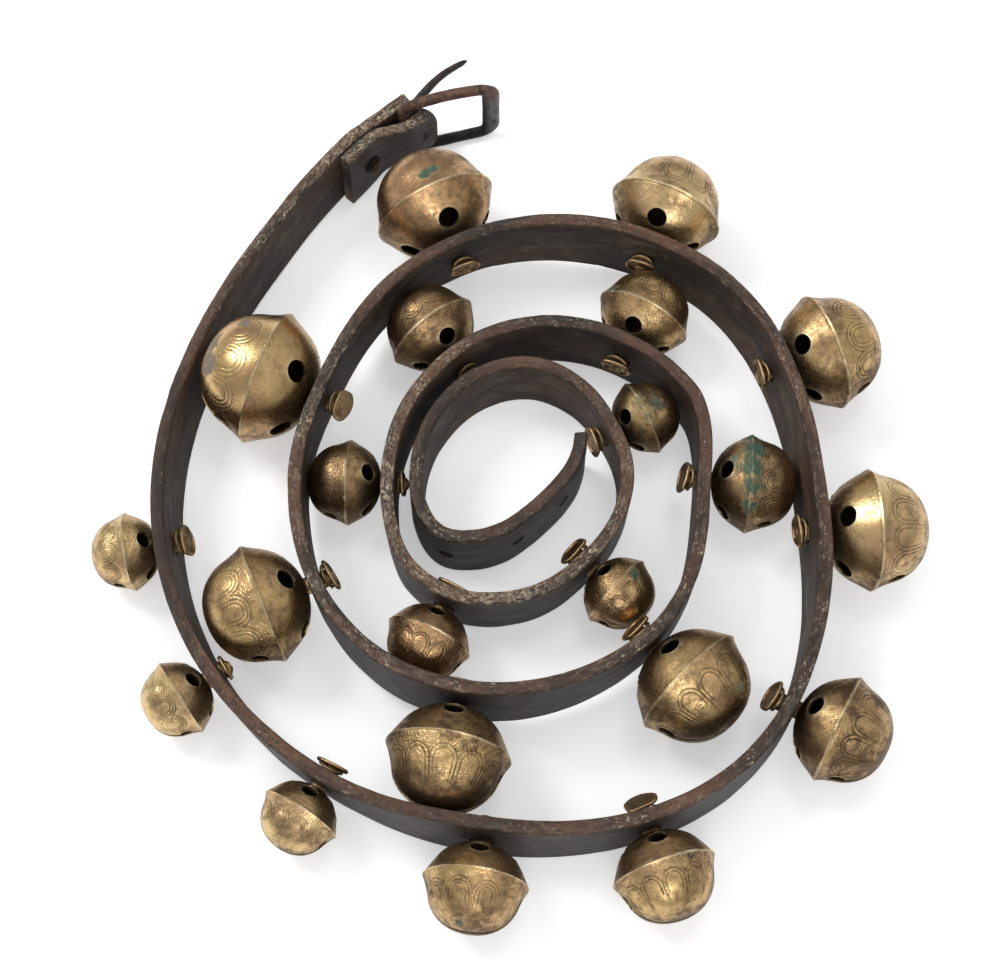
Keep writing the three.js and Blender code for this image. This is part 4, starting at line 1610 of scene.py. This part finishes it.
    def _grid(self) -> tuple[Array, Array, Array, Faces]:
        """Return the smooth outer skin before it is pierced.

        Returns:
            Points about the bell's centre, their normals, (angle, arc) pairs, and faces.
        """
        rows, counts = self._rows()
        slope = np.gradient(rows[:, :2], axis=0)
        points = []
        normals = []
        lays = []
        starts = []
        total = 0
        for (r, y, arc), (dr, dy), count in zip(rows, slope, counts):
            angle = 2 * math.pi * np.arange(count) / count
            length = math.hypot(dr, dy)
            outwards = dy / length
            forwards = -dr / length
            cosine = np.cos(angle)
            sine = np.sin(angle)
            points.append(np.column_stack([r * cosine, np.full(count, y), r * sine]))
            normals.append(np.column_stack([outwards * cosine, np.full(count, forwards), outwards * sine]))
            lays.append(np.column_stack([angle, np.full(count, arc)]))
            starts.append(total)
            total += count
        for depth, way in ((-self.winding.shank_depth, -1.0), (self.winding.nose_depth, 1.0)):
            points.append(np.array([[0.0, depth * self.radius, 0.0]]))
            normals.append(np.array([[0.0, way, 0.0]]))
            lays.append(np.array([[0.0, way * 9.0 * self.radius]]))
        faces = []
        for k in range(len(counts) - 1):
            faces.extend(self._band(starts[k], counts[k], starts[k + 1], counts[k + 1]))
        for j in range(counts[0]):
            faces.append([total, starts[0] + j, starts[0] + (j + 1) % counts[0]])
        for j in range(counts[-1]):
            faces.append([total + 1, starts[-1] + (j + 1) % counts[-1], starts[-1] + j])
        return np.vstack(points), np.vstack(normals), np.vstack(lays), faces

    @staticmethod
    def _band(low: int, low_count: int, high: int, high_count: int) -> Faces:
        """Return the faces between two rows, where one may have twice the points of the other.

        Args:
            low: First point of the first row.
            low_count: Points of the first row.
            high: First point of the second row.
            high_count: Points of the second row.

        Returns:
            Corner numbers of each face.
        """
        faces = []
        count = min(low_count, high_count)
        low_step = low_count // count
        high_step = high_count // count
        for j in range(count):
            lower = [low + (low_step * j + k) % low_count for k in range(low_step + 1)]
            upper = [high + (high_step * j + k) % high_count for k in range(high_step + 1)]
            faces.append([lower[0], *upper, *lower[:0:-1]])
        return faces

    def _petal_lines(self, lays: Array, points: Array) -> tuple[Array, Array]:
        """Find the engraved lines of the petals.

        Args:
            lays: Angle and arc of each point.
            points: The outer skin about the bell's centre.

        Returns:
            The way to the nearest line, in line widths, and how strongly the lines show there.
        """
        across = np.hypot(points[:, 0], points[:, 2])
        arc = lays[:, 1] / self.radius
        pitch = 2 * math.pi / self.look.petals
        scrolled = self.look.petals < self.arched_petals
        off_middle = np.abs((lays[:, 0] + pitch / 2) % pitch - pitch / 2)
        side = off_middle * across / self.radius
        outer = self.petal_share * self.belt_across * pitch / 2
        middle = self.petal_start + outer
        middle_across = np.interp(middle, self.across_arcs, self.across_shares)
        nearest = np.full(len(points), self.far_from_line)
        insets = self.petal_insets if scrolled else self.petal_insets[: 2]
        for inset in insets:
            half_width = outer - inset
            round_end = np.hypot(side, arc - middle) - half_width
            leg = side - half_width * across / self.radius / middle_across
            away = np.abs(np.where(arc < middle, round_end, leg)) * self.radius / self.groove_width
            nearest = np.minimum(nearest, away)
        end = self.scroll_end if scrolled else self.arch_end
        fade = (1 - smooth(arc, end - self.petal_fade, end)) * (arc > 0.05)
        return nearest, fade

    def _holes(self, points: Array) -> tuple[Array, Array, Array]:
        """Move the points round each opening onto its edge.

        Args:
            points: The outer skin about the bell's centre.

        Returns:
            The moved points, which of them lie on or inside an opening, and how near each is to a hole's rim.
        """
        moved = points.copy()
        inside = np.zeros(len(points), bool)
        rim = np.zeros(len(points))
        out, back = self.hole_place
        for k in range(self.hole_count):
            angle = 2 * math.pi * k / self.hole_count
            way = np.array([out * math.cos(angle), back, out * math.sin(angle)])
            way /= np.linalg.norm(way)
            along = points @ way
            off = points - along[:, None] * way
            distance = np.linalg.norm(off, axis=1)
            near = (along > 0) & (distance < self.hole / 2 + self.snap * self.shank_spacing)
            share = self.hole / 2 / np.maximum(distance[near], TINY)
            moved[near] = along[near, None] * way + off[near] * share[:, None]
            inside |= near
            by_rim = np.exp(-(((distance - self.hole / 2) / self.rim_wear_and_highlight) ** 2)) * (along > 0)
            rim = np.maximum(rim, by_rim)
        end_y = self.slit_end_ahead * self.radius
        ahead = points[:, 1] > end_y - self.slit_end
        by_slit = np.abs(points[:, 2]) < self.slit / 2 + self.snap * self.spacing
        in_slit = ahead & (points[:, 1] >= end_y) & by_slit
        moved[in_slit, 2] = np.where(points[in_slit, 2] >= 0, 1, -1) * self.slit / 2
        inside |= in_slit
        side_on = np.column_stack([points[:, 1] - end_y, points[:, 2]])
        distance = np.linalg.norm(side_on, axis=1)
        by_end = distance < self.slit_end / 2 + self.snap * self.spacing
        in_end = ahead & by_end & (points[:, 1] < end_y + self.slit_end / 2)
        mouth = math.sqrt((self.slit_end / 2) ** 2 - (self.slit / 2) ** 2)
        push = in_end & ~(in_slit & (np.abs(side_on[:, 0]) > mouth))
        share = self.slit_end / 2 / np.maximum(distance[push], TINY)
        moved[push, 1] = end_y + side_on[push, 0] * share
        moved[push, 2] = side_on[push, 1] * share
        inside |= in_end
        return moved, inside, rim

    def casting(self) -> Piece:
        """Build the bell's shell with its openings, engraved petals and shank.

        Returns:
            The casting, in its place.
        """
        points, normals, lays, faces = self._grid()
        away, strength = self._petal_lines(lays, points)
        wander = grain_of(points, 9.0, self.number * 1.37) * self.cast_wander
        worn = 0.65 + 0.35 * grain_of(points, 7.0, self.number * 2.11)
        strength = strength * np.clip(worn, 0.5, 1) * self.look.engraved
        grooves = np.exp(-(away**2)) * strength
        moved, inside, rim = self._holes(points)
        skin = moved + normals * (wander * ~inside - grooves * self.groove_depth * ~inside)[:, None]
        lining = moved - normals * (self.wall * np.where(inside, self.rim_share, 1.0))[:, None]

        kept = [face for face in faces if not all(inside[k] for k in face)]
        used = np.zeros(len(points), bool)
        for face in kept:
            used[face] = True
        renumber = np.cumsum(used) - 1
        count = int(used.sum())
        outer = [[int(renumber[k]) for k in face] for face in kept]
        inner = [[count + k for k in reversed(face)] for face in outer]
        edges: dict[tuple[int, int], int] = {}
        for face in outer:
            for a, b in zip(face, face[1:] + face[:1]):
                edges[(a, b)] = edges.get((a, b), 0) + 1
        rims = [[b, a, count + a, count + b] for a, b in edges if (b, a) not in edges]
        shell_points = np.vstack([skin[used], lining[used]]) + np.array([0.0, self.reach, 0.0])

        shank_points, shank_faces = self._shank()
        all_points, all_faces = joined([(shell_points, outer + inner + rims), (shank_points, shank_faces)])
        piece = new_piece(f"{self.label}_casting", all_points, all_faces, sharp_deg=48)
        spare = len(all_points) - count
        arc = np.abs(lays[used, 1])
        # Wear and a painted highlight: the hole rims are marked as rubbed, so they show pale brass
        by_rim = 0.7 * np.maximum(inside, rim)[used]
        ridge = np.maximum(np.exp(-((arc / self.ridge_width) ** 2)), by_rim)
        # Painted shade: the skin is darkened more the further it faces down
        under = smooth(-normals[used, 2], *self.under_band)
        # Painted shadow: a dark line along the shank side of the ridge, kept with the engraved lines
        by_ridge = lays[used, 1] + self.ridge_shade
        shaded = np.abs(by_ridge) < self.ridge_shade
        away[used] = np.where(shaded, np.abs(by_ridge) / self.groove_width, away[used])
        strength[used] = np.where(shaded, 0.55, strength[used])
        directions = points[used] / self.radius
        masks = {
            "ridge": (ridge, 0.0),
            "petal": (away[used], self.far_from_line),
            "groove_and_shade": (strength[used], 0.0),
            "stipple": (self.look.grit * self._stipple(lays[used, 1] / self.radius), 0.0),
            "under": (under, 0.5),
            "verdigris": (self._patches(directions, self.look.green), 0.0),
            "stain": (self._patches(directions, self.look.stain), 0.0),
        }
        for name, (on_skin, elsewhere) in masks.items():
            store(piece, name, np.concatenate([on_skin, np.full(spare, elsewhere)]))
        # Painted shade with some grime: the inside of the shell is darkened fully and the shank part way
        hollow = np.concatenate([np.zeros(count), np.ones(count), np.full(spare - count, 0.4)])
        store(piece, "hollow", hollow)
        piece.matrix_world = self.matrix
        return piece

    def _stipple(self, arc: Array) -> Array:
        """Return where the ground is punched rough: by the ridge, and faintly among the petals.

        Args:
            arc: Arc from the ridge, in shares of the radius.

        Returns:
            Shares from 0 to 1.
        """
        low, full, fading, gone = self.stipple_band
        band = smooth(arc, low, full) * (1 - smooth(arc, fading, gone))
        low, full, fading, gone = self.stipple_among
        among = self.stipple_share * smooth(arc, low, full) * (1 - smooth(arc, fading, gone))
        return np.maximum(band, among)

    def _patches(self, directions: Array, patches: Sequence[Patch]) -> Array:
        """Return how strongly patches cover the skin.

        Args:
            directions: Way to each point from the bell's centre.
            patches: The patches.

        Returns:
            The strength at each point.
        """
        cover = np.zeros(len(directions))
        for patch in patches:
            away = np.linalg.norm(directions - np.array(patch.way), axis=1)
            fade = 1 - smooth(away, patch.reach * self.patch_core, patch.reach * self.patch_rim)
            cover = np.maximum(cover, patch.strength * fade)
        return cover

    def _shank(self) -> Shape:
        """Shape the flat shank that goes through the strap, with a rounded end.

        Returns:
            Points and faces.
        """
        root = self.winding.strap_thick / 2 + self.winding.bell_standoff + self.wall * 0.6
        end = -self.winding.strap_thick / 2 - self.shank_past
        path = np.array([[0, y, 0] for y in np.linspace(root, end, 14)], float)
        share = np.clip((path[:, 1] - end) / self.shank_round, 0, 1)
        wide = self.shank_width / 2 * np.sqrt(1 - (1 - share) ** 2 * 0.85)
        return sweep(path, (1.0, 0.0, 0.0), wide, self.shank_thick / 2, ROUND_FACETS, closed=False)

    def keeper(self) -> Piece:
        """Build the keeper plate on the inside of the strap, with a raised rim and a worn outline.

        Returns:
            The plate, in its place.
        """
        facets = 48
        half_long = self.look.keeper_length / 2
        half_high = self.keeper_height / 2
        angles = 2 * math.pi * np.arange(facets) / facets
        wave = 1 + 0.03 * np.sin(3 * angles + self.number)
        wave = wave + 0.02 * np.sin(5 * angles + 2 * self.number)
        square = np.where(np.sin(angles) > 0, *self.keeper_squares)
        x = half_long * wave * np.sign(np.cos(angles)) * np.abs(np.cos(angles)) ** square
        z = half_high * wave * np.sign(np.sin(angles)) * np.abs(np.sin(angles)) ** square
        front = -self.keeper_thick
        sunk = front + self.keeper_rim * (1 - smooth(self.look.lean, *self.rimless_lean))
        # Share of the outline, y and rubbing of each row, from the back to the dished face
        rows = (
            (0.5, 0.0, 0.1), (0.93, 0.0, 0.3), (1.0, -self.keeper_bevel, 0.75),
            (1.0, front + self.keeper_bevel, 0.75), (0.94, front, 0.75), (0.84, front, 0.4),
            (0.76, sunk, 0.1), (0.4, sunk - 0.1, 0.15),
        )
        points = [np.column_stack([x * share, np.full(facets, y), z * share]) for share, y, _ in rows]
        tip = math.radians(-self.look.lean)
        tipped = half_high * abs(math.sin(tip)) * 0.8
        seat = -self.winding.strap_thick / 2 - self.look.keeper_clear - tipped
        lean = Matrix.Rotation(tip, 3, "X")
        twist = Matrix.Rotation(math.radians(self.look.twist), 3, "Z")
        spots = np.vstack(points) @ np.array(twist @ lean).T + np.array([0.0, seat, self.keeper_raise])
        piece = new_piece(f"{self.label}_keeper", spots, ring_faces(len(rows), facets), sharp_deg=60)
        self._mark_small(piece, np.repeat([rub for _, _, rub in rows], facets))
        piece.matrix_world = self.matrix
        return piece

    def locking_wire(self) -> Piece:
        """Build the bent wire loop that locks the shank, between the leather and the keeper.

        Returns:
            The loop, in its place.
        """
        face = -self.winding.strap_thick / 2
        start = face - self.look.keeper_clear
        wire = min(self.wire, self.look.keeper_clear - self.loop_room)
        half_long = self.loop_half * math.sqrt(wire / self.wire)
        near = face - self.loop_clear - wire / 2
        angles = np.linspace(-self.loop_past, math.pi + self.loop_past, 40)
        bent = np.sin(angles)
        rise = self.loop_rise * math.sin(math.radians(self.look.loop))
        skew = 0.5 * math.sin(2.3 * self.number)
        path = np.column_stack([
            half_long * np.cos(angles) + skew * bent,
            start + (near - start) * bent,
            self.loop_raise + rise * bent,
        ])
        radius = wire / 2 * (1 + 0.12 * np.sin(angles * 2 + self.number))
        wide, high = (radius * share for share in self.wire_flat)
        points, faces = sweep(path, (0.0, 0.3, 1.0), wide, high, 12, closed=False)
        piece = new_piece(f"{self.label}_wire", points, faces)
        self._mark_small(piece, np.full(len(points), 0.5))
        piece.matrix_world = self.matrix
        return piece

    def _mark_small(self, piece: Piece, rubbed: Array) -> None:
        """Store the masks of a small brass fitting, with green where it is nearest the leather.

        Args:
            piece: The keeper or the wire.
            rubbed: How far each point is rubbed bright.
        """
        heights = corners_of(piece)[:, 1]
        count = len(heights)
        store(piece, "ridge", rubbed)
        for name in ("groove_and_shade", "stain", "under", "stipple"):
            store(piece, name, np.zeros(count))
        store(piece, "petal", np.full(count, self.far_from_line))
        # A little of the same painted shade darkens the keepers and wires
        store(piece, "hollow", np.full(count, 0.2))
        face = -self.winding.strap_thick / 2
        near = smooth(heights, face - self.green_reach, face)
        least, more = self.green_range
        store(piece, "verdigris", least + more * near)

    def pellet(self) -> Piece:
        """Build the rough iron pellet that lies loose in the bell.

        Returns:
            The pellet, in its place.
        """
        name = f"pellet_{self.number:02d}"
        low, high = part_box(name)
        middle = np.array((low + high) / 2) / MM
        size = min(high - low) / MM / 2
        ball = bmesh.new()
        bmesh.ops.create_icosphere(ball, subdivisions=3, radius=1.0)
        spots = np.array([corner.co for corner in ball.verts])
        faces = [[corner.index for corner in face.verts] for face in ball.faces]
        ball.free()
        rough = 1 - 0.09 * np.abs(grain_of(spots, 0.55, self.number * 3.3))
        piece = new_piece(f"{name}_ball", spots * (size * rough)[:, None] + middle, faces)
        store(piece, "rust", np.ones(len(spots)))
        store(piece, "ridge", np.zeros(len(spots)))
        return piece

    def dress(self, effects: SharedEffects, small_brass: Material, iron: Material) -> list[str]:
        """Build the bell's pieces, give them their finishes and let them ride.

        Args:
            effects: The shared node groups.
            small_brass: Finish of keepers and wires.
            iron: Finish of pellets.

        Returns:
            Names of the pieces.
        """
        casting = self.casting()
        finish = AgedBrass(
            f"{self.label}_brass",
            seed=self.number * 0.37,
            bright=self.look.bright,
            stain=self.look.stain_colour,
            age=self.look.age,
            skin=self.look.skin,
        )
        casting.data.materials.append(finish.make(effects))
        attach(casting, self.body)
        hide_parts(self.label)
        for fitting in (self.keeper(), self.locking_wire()):
            fitting.data.materials.append(small_brass)
            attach(fitting, self.body)
        pellet = self.pellet()
        pellet.data.materials.append(iron)
        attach(pellet, f"pellet_{self.number:02d}_body")
        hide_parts(f"pellet_{self.number:02d}")
        return [casting.name, f"{self.label}_keeper", f"{self.label}_wire", pellet.name]


# Buckle


@dataclass
class Buckle:
    """Forged buckle on the folded end of the strap: frame and tongue, both about the bar."""

    winding: Winding
    frame_length: float = 37.0
    end_bar_width: float = 7.5
    end_bar_thick: float = 3.2
    frame_swing: float = -22.0
    tongue_swing: float = 33.0
    tongue_thick: float = 4.0
    tongue_eye_wall: float = 1.9
    tongue_reach: float = 42.0
    tongue_tip_rise: float = 3.2
    tongue_bow: float = 3.6
    tongue_height: float = 4.8
    corner: float = 5.0
    rail_bow: float = 1.4
    end_taper: Pair = (4.0, 0.5)
    waver: float = 0.18
    frame_rough: float = 0.06
    rust_band: Pair = (0.35, 0.85)
    lip_band: Pair = (1.2, 3.4)
    tip_share: float = 0.06
    tongue_rough: float = 0.05
    tongue_top_wear_and_highlight_band: Pair = (1.0, 1.7)

    def matrix(self, swing: float) -> Matrix:
        """Return the place of a buckle piece: X away from the bar, Y outwards, Z along the bar.

        Args:
            swing: Turn about the bar in degrees.

        Returns:
            The matrix.
        """
        finish = self.winding.spot_at(self.winding.last_turn, leaning=False)
        basis = placed(finish.along, finish.out, UPRIGHT, Vector(self.winding.bar_middle() * MM))
        return basis @ Matrix.Rotation(math.radians(swing), 4, "Z")

    def frame(self) -> Piece:
        """Build the frame: bar, two rails and the flat end bar, in one closed loop.

        Returns:
            The frame, in its place.
        """
        half = self.winding.chape_width / 2 + self.winding.frame_play + self.winding.rod / 2
        length = self.frame_length
        reach = self.corner
        legs = []
        corners = ((0.0, -half), (length, -half), (length, half), (0.0, half))
        for k, (x, z) in enumerate(corners):
            before = corners[k - 1]
            after = corners[(k + 1) % 4]
            into = np.array([x - before[0], z - before[1]])
            into /= np.linalg.norm(into)
            away = np.array([after[0] - x, after[1] - z])
            away /= np.linalg.norm(away)
            tight = reach if x > 0 else self.winding.rod / 2
            for angle in np.linspace(0, 1, 9) * math.pi / 2:
                short = into * tight * (1 - math.sin(angle))
                past = away * tight * (1 - math.cos(angle))
                legs.append(np.array([x, z]) - short + past)
            next_tight = reach if after[0] > 0 else self.winding.rod / 2
            start = legs[-1]
            end = np.array(after) - away * next_tight
            for share in np.linspace(0, 1, 12)[1:-1]:
                legs.append(start + (end - start) * share)
        plan = np.array(legs)
        bow = self.rail_bow * np.sin(np.pi * np.clip(plan[:, 0] / length, 0, 1)) * (plan[:, 1] > 0)
        path = np.column_stack([plan[:, 0], bow, plan[:, 1]])
        flat = smooth(plan[:, 0], *(length - short for short in self.end_taper))
        rod = self.winding.rod / 2
        depth = rod + flat * (self.end_bar_thick / 2 - rod)
        width = rod + flat * (self.end_bar_width / 2 - rod)
        waver = grain_of(path, 7.0, 2.2) * self.waver
        points, faces = sweep(path, (0.0, 1.0, 0.0), depth + waver, width + waver, ROUND_FACETS, closed=True)
        points = points + grain_of(points, 1.6, 4.4)[:, None] * self.frame_rough
        piece = new_piece("buckle_frame_iron", points, faces)
        lengths, _, heights = corners_of(piece).T
        upper = smooth(heights, *(half * share for share in self.rust_band))
        store(piece, "rust", np.clip(upper + 0.2 * (lengths < length * 0.4), 0, 1))
        rubbed = 0.5 * smooth(lengths, length - 3.0, length)
        lip = smooth(lengths, *(length + past for past in self.lip_band))
        store(piece, "ridge", np.maximum(rubbed, lip))
        piece.matrix_world = self.matrix(self.frame_swing)
        return piece

    def tongue(self) -> Piece:
        """Build the tongue: an eye round the bar and a bowed, tapered arm.

        Returns:
            The tongue, in its place.
        """
        inside = self.winding.rod / 2 + self.winding.bar_play
        outside = inside + self.tongue_eye_wall
        middle = (inside + outside) / 2
        ring = np.column_stack([*circle(middle), np.zeros(RING_STEPS)])
        eye_wall = self.tongue_eye_wall / 2
        eye = sweep(ring, UPRIGHT, self.tongue_thick / 2, eye_wall, 14, closed=True)
        share = np.linspace(0, 1, 30)
        rise = middle * (1 - share) + self.tongue_tip_rise * share**2
        rise = rise + self.tongue_bow * np.sin(math.pi * share**1.4)
        arm_path = np.column_stack([self.tongue_reach * share, rise, np.zeros(len(share))])
        tip = np.sqrt(np.clip((1 - share) / self.tip_share, 0.1, 1))
        wide = self.tongue_height / 2 * (1 - 0.25 * share) * tip
        deep = self.tongue_thick / 2 * (1 - 0.6 * share**2) * tip
        arm = sweep(arm_path, UPRIGHT, wide, deep, 16, closed=False)
        points, faces = joined([eye, arm])
        points = points + grain_of(points, 1.4, 6.4)[:, None] * self.tongue_rough
        piece = new_piece("buckle_tongue_iron", points, faces)
        heights = corners_of(piece)[:, 2]
        store(piece, "rust", np.full(len(heights), 0.12))
        # Wear and a painted highlight: the tongue's top is faintly bare metal
        store(piece, "ridge", 0.15 * smooth(heights, *self.tongue_top_wear_and_highlight_band))
        piece.matrix_world = self.matrix(self.frame_swing + self.tongue_swing)
        return piece

    def dress(self, effects: SharedEffects) -> list[str]:
        """Build both pieces, give them their iron and let them ride.

        Args:
            effects: The shared node groups.

        Returns:
            Names of the pieces.
        """
        frame = (self.frame(), Body.FRAME, "buckle_frame")
        tongue = (self.tongue(), Body.TONGUE, "buckle_tongue")
        names = []
        for piece, body, node in (frame, tongue):
            piece.data.materials.append(RustedIron(f"{node}_finish", 1.0).make(effects))
            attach(piece, body.value)
            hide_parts(node)
            names.append(piece.name)
        return names


@dataclass
class FoldRivet:
    """Copper rivet and burr that hold the folded end of the strap."""

    winding: Winding
    shank: float = 3.4
    head: float = 9.0
    head_thick: float = 1.3
    burr: float = 8.0
    burr_thick: float = 1.3
    upset: float = 5.1
    fit: float = 0.3
    # Shares of the diameter and of the thickness
    peen_shape: tuple[Pair, ...] = ((0.0, 1.0), (0.32, 0.9), (0.5, 0.35), (0.46, 0.0))
    head_shape: tuple[Pair, ...] = ((0.5, 0.0), (0.5, 0.4), (0.38, 0.85), (0.18, 1.0), (0.0, 1.0))

    def build(self) -> list[tuple[Piece, str]]:
        """Build the rivet and its burr.

        Returns:
            Each piece with the node that it stands for.
        """
        winding = self.winding
        spot = winding.back_from_fold(winding.rivet_setback)
        face = winding.strap_thick / 2 + self.fit
        inner = -(winding.strap_thick / 2 + winding.tab_gap + winding.strap_thick) - self.fit
        burr_out = inner - self.burr_thick
        peen = burr_out - self.fit
        profile = [(self.upset * wide, peen - self.head_thick * deep) for wide, deep in self.peen_shape]
        profile += [(self.shank / 2, peen), (self.shank / 2, face)]
        profile += [(self.head * wide, face + self.head_thick * deep) for wide, deep in self.head_shape]
        rivet = new_piece("rivet_copper", *turned(profile, 32))
        bore = self.shank / 2 + self.fit
        x, z = circle((self.burr / 2 + bore) / 2)
        ring = np.column_stack([x, np.full(RING_STEPS, (inner + burr_out) / 2), z])
        half_thick = self.burr_thick / 2
        half_wide = (self.burr / 2 - bore) / 2
        washer = sweep(ring, (0.0, 1.0, 0.0), half_thick, half_wide, 12, closed=True)
        burr = new_piece("rivet_burr_copper", *washer)
        for piece in (rivet, burr):
            piece.matrix_world = placed(spot.along, spot.out, UPRIGHT, Vector(spot.middle * MM))
        return [(rivet, "rivet"), (burr, "rivet_burr")]

    def dress(self, effects: SharedEffects) -> list[str]:
        """Build both pieces, give them their copper and let them ride.

        Args:
            effects: The shared node groups.

        Returns:
            Names of the pieces.
        """
        copper = DullCopper("rivet_copper").make(effects)
        blackened = DullCopper("burr_copper", (0.045, 0.034, 0.028), (0.016, 0.013, 0.012)).make(effects)
        names = []
        for (piece, node), finish in zip(self.build(), (copper, blackened)):
            piece.data.materials.append(finish)
            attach(piece, Body.STRAP.value)
            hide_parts(node)
            names.append(piece.name)
        return names


# Studio


@dataclass(frozen=True)
class Lamp:
    """One square soft lamp, with its place and size in metres."""

    name: str
    place: Point
    size: float
    watts: float


@dataclass
class Studio:
    """Pale floor, soft lamps and the camera over the wound strap."""

    lamps: tuple[Lamp, ...] = (
        Lamp("key_lamp", (-0.8, 0.45, 1.1), 0.48, 8.0),
        Lamp("top_lamp", (0.25, 0.35, 1.4), 0.4, 2.2),
        Lamp("near_lamp", (0.1, -1.15, 0.95), 0.5, 3.4),
    )
    lamp_aim: Point = (0.0, 0.0, 0.02)
    room_low: Colour = (0.34, 0.34, 0.342)
    room_high: Colour = (0.7, 0.7, 0.7)
    room_rise: Pair = (0.12, 0.85)

    aim: Point = (-3.2, -6.0, 0.0)
    elevation: float = 67.4
    distance: float = 781.6
    lens: float = 72.0
    sensor: float = 36.0
    floor_half: float = 40.0
    floor_drop: float = 0.0002
    floor_colour: Colour = (0.84, 0.84, 0.85)
    floor_glow: float = 0.42
    mirror_glow: float = 0.14

    def camera(self) -> None:
        """Place the camera."""
        data = bpy.data.cameras.new("camera")
        data.lens = self.lens
        data.sensor_width = self.sensor
        data.clip_start = 0.01
        camera = linked("camera", data)
        aim = Vector(self.aim) * MM
        tip = math.radians(self.elevation)
        back = Vector((0.0, -math.cos(tip), math.sin(tip)))
        camera.location = aim + back * self.distance * MM
        camera.rotation_euler = (-back).to_track_quat("-Z", "Y").to_euler()
        bpy.context.scene.camera = camera

    def floor(self) -> None:
        """Lay the pale floor, which keeps shadows, glows to the camera and glows less in metal."""
        h = self.floor_half
        mesh = bpy.data.meshes.new("studio_floor")
        mesh.from_pydata([(-h, -h, 0), (h, -h, 0), (h, h, 0), (-h, h, 0)], [], [(0, 1, 2, 3)])
        floor = linked("studio_floor", mesh)
        floor.location.z = -self.floor_drop
        material, bench, shader = new_material("studio_white")
        shader.inputs["Base Color"].default_value = (*self.floor_colour, 1.0)
        shader.inputs["Roughness"].default_value = 0.7
        shader.inputs["Specular IOR Level"].default_value = 0.2
        path = bench.add("ShaderNodeLightPath")
        mirrored = bench.plus(path.outputs["Is Glossy Ray"], path.outputs["Is Transmission Ray"])
        glow = bench.times(path.outputs["Is Camera Ray"], self.floor_glow)
        glow = bench.plus(glow, bench.times(mirrored, self.mirror_glow))
        shader.inputs["Emission Color"].default_value = (1.0, 1.0, 1.0, 1.0)
        bench.feed(shader.inputs["Emission Strength"], glow)
        mesh.materials.append(material)

    def hang(self, lamp: Lamp) -> None:
        """Hang a lamp so that it faces the middle of the strap.

        Args:
            lamp: The lamp.
        """
        data = bpy.data.lights.new(lamp.name, "AREA")
        data.shape = "SQUARE"
        data.size = lamp.size
        data.energy = lamp.watts
        hung = linked(lamp.name, data)
        hung.location = lamp.place
        way = Vector(self.lamp_aim) - Vector(lamp.place)
        hung.rotation_euler = way.to_track_quat("-Z", "Y").to_euler()

    def sky(self) -> None:
        """Fill the room with a soft light that is stronger from above."""
        world = bpy.data.worlds.new("studio_room")
        bpy.context.scene.world = world
        world.use_nodes = True
        bench = NodeBench(world.node_tree)
        background = world.node_tree.nodes["Background"]
        place = bench.add("ShaderNodeTexCoord").outputs["Generated"]
        parts = bench.add("ShaderNodeSeparateXYZ")
        bench.feed(parts.inputs[0], place)
        rise = bench.span(parts.outputs["Z"], *self.room_rise)
        bench.feed(background.inputs["Color"], bench.blend(rise, self.room_low, self.room_high))
        background.inputs["Strength"].default_value = 1.0

    def build(self) -> None:
        """Set up camera, floor, lamps and room."""
        self.camera()
        self.floor()
        for lamp in self.lamps:
            self.hang(lamp)
        self.sky()
        bpy.context.scene.view_settings.view_transform = "Standard"


def bell_matrix(joints: dict[str, dict], number: int) -> Matrix:
    """Return a bell's place from its own joints.

    Args:
        joints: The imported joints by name.
        number: The bell's number.

    Returns:
        Its axes and pivot: X along the strap, Y to the nose, Z up.
    """
    wag = joints[f"bell_{number:02d}_wag"]
    roll = joints[f"pellet_{number:02d}_roll"]
    up = Vector(wag["axis"]).normalized()
    nose = Vector(roll["axis"]).normalized()
    return placed(nose.cross(up), nose, up, Vector(wag["pos_m"]))


def main() -> None:
    """Build the strap, the bells, the buckle and the studio, and report each piece."""
    logging.basicConfig(level=logging.INFO, format="%(name)s: %(message)s")
    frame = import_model()
    joints = {joint["name"]: joint for joint in frame["joints"]}

    winding = Winding()
    first = np.array(joints["bell_01_wag"]["pos_m"]) / MM
    winding.offset = first - winding.spot_at(BELL_PLACES[0].at).middle
    Studio().build()

    effects = SharedEffects()
    strap = LeatherStrap(winding)
    leather = strap.build()
    strap.dress(leather, effects)
    log.info("%s, %d points", leather.name, len(leather.data.vertices))

    small_brass = AgedBrass(
        "keeper_brass", seed=4.4, bright=(0.42, 0.3, 0.15), worn=(0.56, 0.4, 0.205), age=0.7
    ).make(effects)
    pellet_iron = RustedIron("pellet_rust", 0.9).make(effects)
    for number, (place, look) in enumerate(zip(BELL_PLACES, BELL_LOOKS), start=1):
        bell = PetalBell(number, place, look, winding, bell_matrix(joints, number))
        log.info(", ".join(bell.dress(effects, small_brass, pellet_iron)))

    log.info(", ".join(Buckle(winding).dress(effects)))
    log.info(", ".join(FoldRivet(winding).dress(effects)))


if __name__ == "__main__":
    main()
